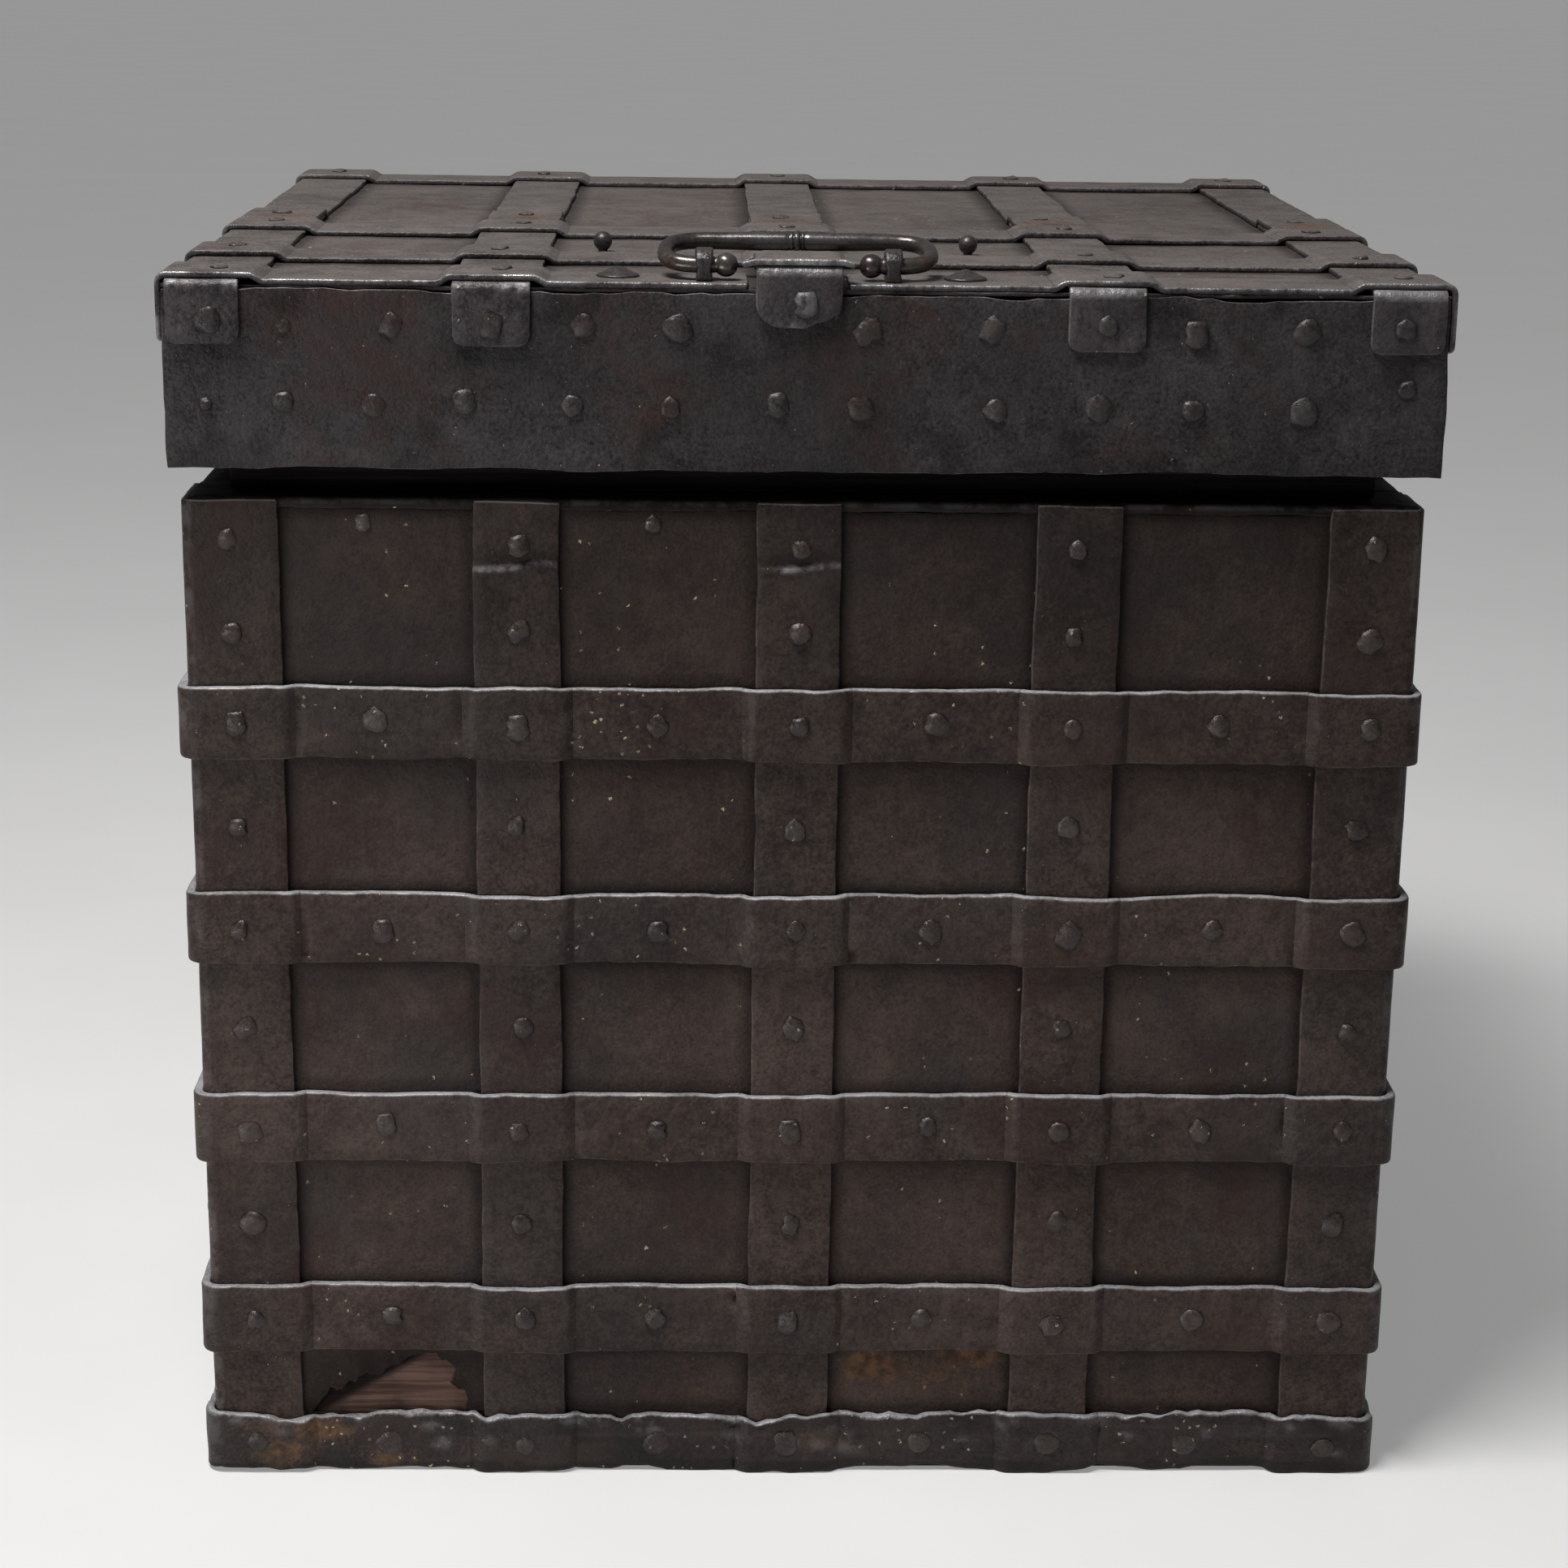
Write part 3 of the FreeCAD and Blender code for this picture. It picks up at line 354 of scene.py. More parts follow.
def bent_line(corners):
    """Stops along a bent bar's inner side, from corners given as (a, b, bend).

    Each stop is (distance, point, outward direction to the left, bend), where the bend is above nothing
    on an outside bend, which is rubbed, and below nothing in a hollow one, which is darkened with dirt
    and painted shade."""
    points = [Vector(corners[0][:2])]
    rubs = [0.0]
    for before, corner, after in zip(corners, corners[1:], corners[2:]):
        spot = Vector(corner[:2])
        back = Vector(before[:2]) - spot
        ahead = Vector(after[:2]) - spot
        turn = math.pi - back.angle(ahead)
        reach = min(corner[2] * math.tan(turn / 2), back.length * leg_share, ahead.length * leg_share)
        start = spot + back.normalized() * reach
        end = spot + ahead.normalized() * reach
        outside = ahead.x * back.y - ahead.y * back.x < 0
        steps = max(3, round(turn / bend_turn))
        for number in range(steps + 1):
            part = number / steps
            points.append(start * (1 - part) ** 2 + spot * (2 * part * (1 - part)) + end * part ** 2)
            rubs.append(turn / (math.pi / 2) * 4 * part * (1 - part) * (1 if outside else -1))
    points.append(Vector(corners[-1][:2]))
    rubs.append(0.0)
    line = []
    travelled = 0.0
    for number, point in enumerate(points):
        last = points[max(number - 1, 0)]
        following = points[min(number + 1, len(points) - 1)]
        travelled += (point - last).length
        run = (following - last).normalized()
        line.append((travelled, point, Vector((-run.y, run.x)), rubs[number]))
    return line


def stops_along(line, step):
    """Distances along a line, close together in its bends and no more than a step apart elsewhere."""
    stops = [0.0]
    for first, second in zip(line, line[1:]):
        gap = second[0] - first[0]
        if gap < 1e-5:
            continue
        parts = max(1, math.ceil(gap / step))
        stops += [first[0] + gap * number / parts for number in range(1, parts + 1)]
    return stops


def cut_hole(bar, outline, step):
    """Opens a hole of any outline in a flat sheet."""
    xs = [x for x, y in outline]
    ys = [y for x, y in outline]
    margin = step * 0.6

    def near(spot, extra):
        inside_x = min(xs) - margin - extra < spot.x < max(xs) + margin + extra
        return inside_x and min(ys) - margin - extra < spot.y < max(ys) + margin + extra

    struck = [face for face in bar.faces if any(near(vert.co, 0) for vert in face.verts)]
    bmesh.ops.delete(bar, geom=struck, context="FACES")
    border = [edge for edge in bar.edges
              if edge.is_boundary and all(near(vert.co, step * 1.5) for vert in edge.verts)]
    rim = [bar.verts.new((x, y, 0)) for x, y in outline]
    border += [bar.edges.new((rim[number - 1], rim[number])) for number in range(len(rim))]
    bmesh.ops.triangle_fill(bar, use_beauty=True, use_dissolve=False, edges=border)


def iron_blank(stops, width, thickness, step, ease, holes=(), rub=0.3):
    """A flat bar along x with its outer skin up, its arrises eased and rubbed, and its holes cut."""
    bar = bmesh.new()
    columns = len(stops) - 1
    rows = max(2, round(width / step))
    bmesh.ops.create_grid(bar, x_segments=columns, y_segments=rows, size=0.5)
    for vert in bar.verts:
        vert.co.x = stops[round((vert.co.x + 0.5) * columns)]
        vert.co.y *= width
    for outline in holes:
        cut_hole(bar, outline, step)
    skin = bmesh.ops.extrude_face_region(bar, geom=bar.faces[:], use_keep_orig=True)
    raised = [item for item in skin["geom"] if isinstance(item, bmesh.types.BMVert)]
    bmesh.ops.translate(bar, vec=(0, 0, thickness), verts=raised)
    bmesh.ops.recalc_face_normals(bar, faces=bar.faces[:])
    rim = [edge for edge in bar.edges if edge.is_manifold and edge.calc_face_angle() > 1]
    bmesh.ops.bevel(bar, geom=rim, offset=ease, offset_type="OFFSET", segments=2, profile=0.5,
                    affect="EDGES", material=-1)
    wear = bar.verts.layers.float.new("wear")
    for vert in bar.verts:
        below = thickness - vert.co.z
        if ease * 0.05 < below < ease * 0.6:
            vert[wear] = rub
        elif ease * 0.6 <= below < thickness * 0.6:
            vert[wear] = rub * 0.35
    for face in bar.faces:
        face.smooth = True
    return bar


def hammer(bar, length, width, thickness, edge, face, seed):
    """Lets the edges of a blank wander and dents its outer skin."""

    def wander(place, side, slow_shift, quick_shift):
        slow = noise.noise(Vector((place * slow_waves, seed * 3.7 + slow_shift, side * 2.3)))
        quick = noise.noise(Vector((place * quick_waves, seed * 3.7 + quick_shift, side * 2.3)))
        return edge * (1.3 * slow + 0.6 * quick)

    for vert in bar.verts:
        along, across, out = vert.co
        hold = max(0.0, 1 - (width / 2 - abs(across)) / edge_grip)
        vert.co.y += wander(along, math.copysign(1, across), 0, 11) * hold
        hold = max(0.0, 1 - min(along, length - along) / edge_grip)
        vert.co.x += wander(across, 1 if along > length / 2 else -1, 23, 31) * hold
        if out > thickness / 2:
            broad = noise.noise(Vector((along * broad_dents, across * broad_dents, seed * 5.1)))
            small = noise.noise(Vector((along * small_dents, across * small_dents, seed * 5.1 + 17)))
            vert.co.z += face * (broad + 0.6 * small)


def lay(bar, line, place, bend_rub=0.12):
    """Bends a flat bar along a line; place puts a point of the line and a distance across in the frame."""
    stops = [stop[0] for stop in line]
    wear = bar.verts.layers.float.get("wear")
    dirt_and_shade = bar.verts.layers.float.get("dirt_and_shade") or bar.verts.layers.float.new("dirt_and_shade")
    for vert in bar.verts:
        along, across, out = vert.co
        number = min(max(bisect.bisect_right(stops, along) - 1, 0), len(line) - 2)
        while stops[number + 1] - stops[number] < 1e-7 and number > 0:
            number -= 1
        first = line[number]
        second = line[number + 1]
        part = (along - first[0]) / (second[0] - first[0])
        held = min(max(part, 0.0), 1.0)
        lean = first[2].lerp(second[2], held).normalized()
        point = first[1] + (second[1] - first[1]) * part
        bend = first[3] + (second[3] - first[3]) * held
        if wear and out > outer_skin:
            vert[wear] = max(vert[wear], bend_rub * bend)
            # Hollow bends are darkened with dirt and painted shade.
            vert[dirt_and_shade] = min(1.0, max(0.0, -hollow_dirt_and_shade * bend))
        vert.co = place(point + lean * out, across)
    bmesh.ops.recalc_face_normals(bar, faces=bar.faces[:])


def mark(bar, layer_name, centre, reach, strength):
    """Marks a soft-edged patch in one of a mesh's layers, for its finish to read."""
    layer = bar.verts.layers.float.get(layer_name) or bar.verts.layers.float.new(layer_name)
    for vert in bar.verts:
        away = [(vert.co[axis] - centre[axis]) / reach[axis] for axis in range(3)]
        amount = strength * max(0.0, 1 - Vector(away).length)
        vert[layer] = max(vert[layer], amount)


def lumps(node):
    """The boxes of a node's separate solids, as (lowest corner, highest corner), in order."""
    work = bmesh.new()
    work.from_mesh(frame["nodes"][node].data)
    bmesh.ops.remove_doubles(work, verts=work.verts[:], dist=same_place)
    waiting = set(work.verts)
    boxes = []
    while waiting:
        group = [waiting.pop()]
        for vert in group:
            joined = [edge.other_vert(vert) for edge in vert.link_edges]
            fresh = [other for other in joined if other in waiting]
            waiting.difference_update(fresh)
            group += fresh
        low = Vector([min(vert.co[axis] for vert in group) for axis in range(3)])
        high = Vector([max(vert.co[axis] for vert in group) for axis in range(3)])
        boxes.append((low, high))
    work.free()
    return sorted(boxes, key=lambda box: tuple(round(value, 5) for value in (box[0] + box[1])))


def bar_edges(axis, *nodes):
    """The edges of all the bars of some nodes along one axis."""
    return [corner[axis] for node in nodes for box in lumps(node) for corner in box]


def seam_dirt_and_shade(work, reach, *seams):
    """Marks dirt and painted shade along the bars that cross a sheet; each seam is an axis and the edges
    along it.
    """
    layer = work.verts.layers.float.get("dirt_and_shade")
    for vert in work.verts:
        gaps = [abs(vert.co[axis] - edge) for axis, edges in seams for edge in edges]
        vert[layer] = max(0.0, 1 - min(gaps) / reach)


def across_x(middle):
    """Lays a bar with its width along x, about a middle."""
    return lambda spot, across: (middle + across, spot.x, spot.y)


def across_y(middle):
    """Lays a bar with its width along y, about a middle."""
    return lambda spot, across: (spot.x, middle + across, spot.y)


def upright(middle):
    """Lays a bar with its width upright, about a middle."""
    return lambda spot, across: (spot.x, spot.y, middle + across)


def wall_runs(half_x, front_y, side_x):
    """Where the sheets of four walls start and end, run so that the outside is on the left."""
    return {"front": ((half_x, front_y), (-half_x, front_y)),
            "back": ((-half_x, -front_y), (half_x, -front_y)),
            "left": ((-side_x, front_y), (-side_x, -front_y)),
            "right": ((side_x, -front_y), (side_x, front_y))}


def wall_sheet(run, bottom, top, edge, face, seed, holes=()):
    """A sheet that stands on one wall."""
    start, end = run
    line = bent_line([start + (0,), end + (0,)])
    width = top - bottom
    work = iron_blank(stops_along(line, wall_step), width, sheet, wall_step, sheet_ease, holes)
    hammer(work, line[-1][0], width, sheet, edge, face, seed)
    lay(work, line, upright((bottom + top) / 2))
    return work


# The sheets are painted darker towards the top, as shade under the lid.
panel_iron = old_iron("browned_sheet_iron", (0.027, 0.0187, 0.016, 1), (0.076, 0.055, 0.0472, 1), 0.4,
                      streaks=0.1, top_dust_and_sheen=0.5, flecks=0.5, rough=(0.4, 0.6), relief=0.9, shine=0.09,
                      blotches=0.3, painted_upper_shade=0.45, cool=0.5)
front_low, front_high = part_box("box_front_sheet")
right = front_high.x
wood_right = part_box("box_front_board")[1].x
wood_front = front_high.y
panel_bottom = front_low.z
panel_top = front_high.z
panel_middle = (panel_bottom + panel_top) / 2
sheet = front_high.y - front_low.y
box_walls = wall_runs(right, wood_front, wood_right)
# The torn edge, as places across and up the front in millimetres
torn_edge = ((-252.0, 34.0), (-247.7, 40.5), (-244.5, 46.1), (-239.0, 45.8), (-235.9, 47.5), (-231.0, 50.0),
             (-226.8, 53.6), (-221.0, 52.9), (-216.1, 54.1), (-213.9, 57.4), (-208.0, 58.6), (-205.7, 61.2),
             (-201.7, 64.2), (-191.1, 65.4), (-183.1, 62.2), (-178.0, 56.1), (-181.1, 50.0), (-174.5, 45.0),
             (-172.0, 39.0), (-174.0, 31.0), (-212.0, 31.0), (-254.0, 31.0))
hidden_below = 38
torn_jag = 0.0016
torn_chance = random.Random(4)
torn_outline = []
for (x, z), (next_x, next_z) in zip(torn_edge, torn_edge[1:] + torn_edge[:1]):
    torn_outline.append((right - x / 1000, z / 1000 - panel_middle))
    for part in (0.35, 0.7) if z > hidden_below else ():
        jag = torn_chance.uniform(-torn_jag, torn_jag)
        torn_outline.append((right - (x + (next_x - x) * part) / 1000,
                             (z + (next_z - z) * part) / 1000 - panel_middle + jag))
front_sheet = wall_sheet(box_walls["front"], panel_bottom, panel_top, wall_edge, wall_dent, 3, [torn_outline])
torn_middle = Vector((-0.208, 0.0, 0.048))
torn_half_width = 0.045
torn_half_height = 0.02
torn_curl = 0.0045
curl_above = 0.036
curl_waves = 160
torn_rim = 0.002
# Where the torn edge curls and where it is dull, as parts of the half sizes
curl_start = 0.5
curl_end = 1.2
dull_within = 1.4
torn_wear = front_sheet.verts.layers.float.get("wear")
for vert in front_sheet.verts:
    off = vert.co - torn_middle
    away = Vector((off.x / torn_half_width, off.z / torn_half_height)).length
    if away < dull_within:
        vert[torn_wear] = 0.0
    if curl_start < away < curl_end and vert.co.z > curl_above:
        lifted = torn_curl * (0.7 + noise.noise(vert.co * curl_waves))
        vert.co.y -= lifted * (curl_end - away) / (curl_end - curl_start)
rust_depth = 0.05
# Rust on the front, as places across and up, how far it reaches each way, and how strong it is
front_rust = ((0.068, 0.055, 0.08, 0.034, 0.45), (0.042, 0.06, 0.028, 0.016, 0.9),
              (0.092, 0.064, 0.034, 0.013, 0.8), (-0.072, 0.052, 0.09, 0.028, 0.34),
              (torn_middle.x, torn_middle.z, 0.07, 0.035, 0.25))
for x, z, wide, tall, strength in front_rust:
    mark(front_sheet, "rust", (x, front_low.y, z), (wide, rust_depth, tall), strength)
band_edges = [corner.z for number in range(1, 5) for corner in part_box("band_%d" % number)]
band_edges += [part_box("base_band")[1].z, panel_top]
angle_low, angle_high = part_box("corner_angles")
corner_leg = 0.047
corner_edges = [[angle_low[axis] + corner_leg, angle_high[axis] - corner_leg] for axis in range(2)]
# Dirt and painted shade along the straps and bands.
seam_dirt_and_shade(front_sheet, seam_reach, (0, bar_edges(0, "front_straps") + corner_edges[0]), (2, band_edges))
# The torn edge gets a dark line of painted shadow.
torn_points = [(right - x, panel_middle + up) for x, up in torn_outline]
torn_edge_shade = front_sheet.verts.layers.float.get("dirt_and_shade")
for vert in front_sheet.verts:
    if min(abs(vert.co.x - x) + abs(vert.co.z - z) for x, z in torn_points) < torn_rim:
        vert[torn_edge_shade] = 1.0
fit_piece(front_sheet, "front_sheet_torn", panel_iron, "box", "sheet_iron", "box_front_sheet")
# Each plain wall's node, the straps on it, the axis along it, and its seed
plain_walls = (("back", "box_back_sheet", "back_straps", 0, 5),
               ("left", "box_side_sheets", "side_straps", 1, 7),
               ("right", "box_side_sheets", "side_straps", 1, 9))
for name, node, straps, axis, seed in plain_walls:
    wall = wall_sheet(box_walls[name], panel_bottom, panel_top, wall_edge, wall_dent, seed)
    # Dirt and painted shade along the straps and bands.
    seam_dirt_and_shade(wall, seam_reach, (axis, bar_edges(axis, straps) + corner_edges[axis]), (2, band_edges))
    fit_piece(wall, name + "_sheet_beaten", panel_iron, "box", "sheet_iron", node)
eased_piece("box_floor_sheet", "floor_sheet_eased", panel_iron, "box", "sheet_iron", sheet_ease)


# Rim strips. Four strips of sheet are folded over the top of the walls and nailed down;
# their lower edge shows as a wandering line between the straps. Their iron is coloured near black as painted
# shade under the lid.
rim_iron_painted_shade = old_iron("rim_sheet_iron_painted_shade", (0.007, 0.0053, 0.0047, 1), (0.019, 0.0142, 0.0126, 1), 0.3,
                    top_dust_and_sheen=0.1, flecks=0.5, shine=0.08)
rim_low, rim_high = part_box("rim_strips")
lip_bottom = rim_low.z
rim_under = rim_high.z - sheet
mouth_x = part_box("box_right_board")[0].x
mouth_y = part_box("box_back_board")[0].y
rim_bend = 0.0015
lip_proud = 0.0006
rim_step = 0.005
rim_step_along = 0.006
rim_ease = 0.0005
rim_edge = 0.0007
rim_dent = 0.0003
rim_rub = 0.06
front_lip = wood_front - lip_proud
side_lip = wood_right + lip_proud
# Each strip's line over the rim, its length, and how it lies
rims = (("front", [(front_lip, lip_bottom, 0), (front_lip, rim_under, rim_bend), (-mouth_y, rim_under, 0)],
         2 * right, across_x(0)),
        ("back", [(mouth_y, rim_under, 0), (-front_lip, rim_under, rim_bend), (-front_lip, lip_bottom, 0)],
         2 * right, across_x(0)),
        ("left", [(-side_lip, lip_bottom, 0), (-side_lip, rim_under, rim_bend), (-mouth_x, rim_under, 0)],
         2 * mouth_y, across_y(0)),
        ("right", [(mouth_x, rim_under, 0), (side_lip, rim_under, rim_bend), (side_lip, lip_bottom, 0)],
         2 * mouth_y, across_y(0)))
for number, (name, corners, length, place) in enumerate(rims):
    line = bent_line(corners)
    strip = iron_blank(stops_along(line, rim_step), length, sheet, rim_step_along, rim_ease, rub=rim_rub)
    hammer(strip, line[-1][0], length, sheet, rim_edge, rim_dent, 30 + number)
    lay(strip, line, place)
    fit_piece(strip, name + "_rim_strip", rim_iron_painted_shade, "box", "sheet_iron", "rim_strips")


# Corner angles and upright straps. Hand-forged bars with uneven edges stand on every wall,
# and an angle wraps each corner; rivets through the boards hold them.
# The straps are painted darker towards the top, as shade under the lid.
strap_iron = old_iron("forged_strap_iron", (0.0185, 0.013, 0.0111, 1), (0.08, 0.0575, 0.049, 1), 0.45,
                      streaks=0.06, top_dust_and_sheen=0.8, flecks=2.0, rough=(0.34, 0.56), relief=0.8, shine=0.12,
                      blotches=0.35, painted_upper_shade=0.5)
bar_ease = 0.0009
strap_step = 0.006


def round_corners(bar, length, width, radius, ends, sides):
    """Rounds the corners of a blank, at its start (-1) or end (1) and on its low (-1) or high (1) side."""
    for vert in bar.verts:
        end = 1 if vert.co.x > length / 2 else -1
        side = 1 if vert.co.y > 0 else -1
        if end not in ends or side not in sides:
            continue
        u = 1 - min(vert.co.x, length - vert.co.x) / radius
        v = 1 - (width / 2 - abs(vert.co.y)) / radius
        if u <= 0 or v <= 0:
            continue
        round_u = u * math.sqrt(1 - min(v, 1) ** 2 / 2)
        round_v = v * math.sqrt(1 - min(u, 1) ** 2 / 2)
        vert.co.x += (u - round_u) * radius * -end
        vert.co.y += (v - round_v) * radius * -side


def forged_bar(corners, width, thickness, place, seed, edge=0.0008, face=0.0003, rounding=None, holes=(),
               step=strap_step, ease=bar_ease, rub=0.12, bend_rub=0.12):
    """A bar cut, rounded, hammered and bent along a line of corners."""
    line = bent_line(corners)
    bar = iron_blank(stops_along(line, step), width, thickness, step, ease, holes, rub)
    length = line[-1][0]
    if rounding:
        round_corners(bar, length, width, *rounding)
    hammer(bar, length, width, thickness, edge, face, seed)
    lay(bar, line, place, bend_rub)
    return bar


def stand_on_floor(bar):
    """Keeps the foot of an uneven bar from going below the floor."""
    for vert in bar.verts:
        vert.co.z = max(vert.co.z, 0.0)


def fit_strap(bar, kind, number):
    """Fits one of the box's bars, which stands for the node that holds all of its kind."""
    stand_on_floor(bar)
    fit_piece(bar, "%s_%d" % (kind, number + 1), strap_iron, "box", "strap_iron", kind + "s")


strap_low, strap_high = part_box("front_straps")
strap_thickness = strap_high.y - strap_low.y
strap_top = strap_high.z
sheet_front = strap_high.y
crease_level = 0.4885
crease_slope = 0.09
crease_hollow = 0.0011
crease_ridge = 0.0007
crease_waver = 0.0012
crease_rub = 0.55
crease_shade_above = 0.006
crease_shade_reach = (0.03, 0.02, 0.009)
ridge_reach = 0.0013
hollow_reach = 0.0022
hollow_above = 0.0035
crease_stops = [(sheet_front, crease_level + step / 1000, 0) for step in range(-7, 10)]
creased_straps = 2


def buckle(bar, middle, face, number):
    """Creases a strap once across: a rubbed ridge, and over it a hollow darkened with painted shade."""
    wear = bar.verts.layers.float.get("wear")
    for vert in bar.verts:
        if vert.co.y > face + strap_thickness / 2:
            continue
        across = vert.co.x - middle
        waver = crease_waver * noise.noise(Vector((across * 70, number * 3.1, 0)))
        above = vert.co.z - (crease_level + crease_slope * across + waver)
        strength = 0.75 + 0.6 * noise.noise(Vector((across * 45, number * 3.1, 7)))
        ridge = strength * math.exp(-(above / ridge_reach) ** 2)
        hollow = math.exp(-((above - hollow_above) / hollow_reach) ** 2)
        vert.co.y += crease_hollow * hollow - crease_ridge * ridge
        vert[wear] = max(vert[wear], crease_rub * ridge)
    # Painted shade in the hollow above the crease.
    mark(bar, "dirt_and_shade", (middle, face, crease_level + crease_shade_above), crease_shade_reach, 0.9)


for number, (low, high) in enumerate(lumps("front_straps")):
    middle = (low.x + high.x) / 2
    stops = crease_stops if number < creased_straps else []
    climb = [(sheet_front, 0, 0)] + stops + [(sheet_front, strap_top, 0)]
    bar = forged_bar(climb, high.x - low.x, strap_thickness, across_x(middle), 40 + number)
    if stops:
        buckle(bar, middle, low.y, number)
    fit_strap(bar, "front_strap", number)
for number, (low, high) in enumerate(lumps("back_straps")):
    climb = [(-sheet_front, strap_top, 0), (-sheet_front, 0, 0)]
    place = across_x((low.x + high.x) / 2)
    bar = forged_bar(climb, high.x - low.x, strap_thickness, place, 50 + number)
    fit_strap(bar, "back_strap", number)
for number, (low, high) in enumerate(lumps("side_straps")):
    climb = [(-right, 0, 0), (-right, strap_top, 0)] if low.x < 0 else [(right, strap_top, 0), (right, 0, 0)]
    place = across_y((low.y + high.y) / 2)
    bar = forged_bar(climb, high.y - low.y, strap_thickness, place, 60 + number)
    fit_strap(bar, "side_strap", number)

angle_bend = 0.0025
top_round = 0.002
for number, (low, high) in enumerate(lumps("corner_angles")):
    side_x = math.copysign(1, low.x)
    side_y = math.copysign(1, low.y)
    leg_y = (side_x * right, low.y if side_y > 0 else high.y, 0)
    leg_x = (low.x if side_x > 0 else high.x, side_y * -sheet_front, 0)
    bend = (side_x * right, side_y * -sheet_front, angle_bend)
    run = [leg_x, bend, leg_y] if side_x * side_y > 0 else [leg_y, bend, leg_x]
    bar = forged_bar(run, strap_top, strap_thickness, upright(strap_top / 2), 70 + number,
                     rounding=(top_round, (-1, 1), (1,)))
    fit_strap(bar, "corner_angle", number)


# Bands. Long bars are forged round the box, set down between the straps and up over them,
# and butt together at the back. Their upper edges are rubbed, and their tops carry pale dust with a painted
# highlight; the base band is the most eaten away.
# Pale bluish dust that also paints the highlight on the bands' tops.
pale_dust_and_sheen = (0.3, 0.295, 0.305, 1)
along_bands = (9, 9, 190)
# The bands are painted darker towards the top, as shade under the lid.
band_iron = old_iron("forged_band_iron", (0.02, 0.014, 0.012, 1), (0.078, 0.0562, 0.048, 1), 0.4,
                     streaks=0.1, runs=along_bands, top_dust_and_sheen=1.0, flecks=1.7, rough=(0.36, 0.58), relief=0.8,
                     shine=0.12, blotches=0.3, painted_upper_shade=0.45, dust_and_sheen_tone=pale_dust_and_sheen)
base_iron = old_iron("eaten_base_iron", (0.0075, 0.0056, 0.0053, 1), (0.04, 0.029, 0.0256, 1), 0.5,
                     streaks=0.2, runs=along_bands, top_dust_and_sheen=1.0, flecks=1.8, rough=(0.26, 0.54), relief=1.2,
                     shine=0.2, blotches=0.7, dust_and_sheen_tone=pale_dust_and_sheen)
band_bend = 0.006
joggle_bend = 0.005
joggle_run = 0.005
butt_place = 0.07
band_forging = dict(edge=0.0012, face=0.0004, step=0.006, ease=0.0013, rub=0.5)
base_forging = dict(edge=0.002, face=0.0007, step=0.003, ease=0.0017, rub=0.6)
under_rub = 0.25
eaten_edge = 0.006
eaten_lift = 0.0075
eaten_drop = 0.0032
eaten_waves = 14
glint_patches = 40
glint_run = 0.3
glint_top = 0.003
glint_depth = 0.018
glint_lengths = (0.004, 0.014)
glint_height = 0.0032
glint_rub = 0.34
mark_depth = 0.02
base_rust_reach = (0.03, mark_depth, 0.014)
# Rust on the base band, as places across and up, and how strong it is
base_rust = ((-0.27, 0.012, 0.7), (-0.215, 0.008, 0.6), (-0.28, 0.025, 0.5), (-0.245, 0.024, 0.7),
             (0.02, 0.02, 0.4), (0.24, 0.015, 0.4))


def band_corners():
    """The bands' inner line, clockwise from above, from the butt joint in the back round to it again."""
    half_x = right + strap_thickness
    half_y = -sheet_front + strap_thickness
    leg = half_x - min(abs(low.x) if low.x > 0 else abs(high.x) for low, high in lumps("corner_angles"))
    back = [(low.x + high.x) / 2 for low, high in lumps("back_straps")]
    front = [-(low.x + high.x) / 2 for low, high in lumps("front_straps")][::-1]
    sides = sorted((low.y + high.y) / 2 for low, high in lumps("side_straps") if low.x > 0)
    half_strap = (strap_high.x - lumps("front_straps")[-1][0].x) / 2
    walls = ((Vector((1, 0)), Vector((0, 1)), half_x, half_y, back),
             (Vector((0, -1)), Vector((1, 0)), half_y, half_x, sides),
             (Vector((-1, 0)), Vector((0, -1)), half_x, half_y, front),
             (Vector((0, 1)), Vector((-1, 0)), half_y, half_x, sides))
    corners = []
    for along, out, half, distance, straps in walls:
        steps = [(leg - half, 0), (leg - half + joggle_run, 1)]
        for strap in straps:
            near = strap - half_strap
            far = strap + half_strap
            steps += [(near - joggle_run, 1), (near, 0), (far, 0), (far + joggle_run, 1)]
        steps += [(half - leg - joggle_run, 1), (half - leg, 0), (half, 0)]
        for place, sunk in steps:
            spot = along * place + out * (distance - sunk * strap_thickness)
            corners.append((spot.x, spot.y, band_bend if place == half else joggle_bend))
    joint = (butt_place, -sheet_front, 0)
    before = [number for number in range(10) if corners[number][0] < butt_place][-1] + 1
    return [joint] + corners[before:] + corners[:before] + [joint]


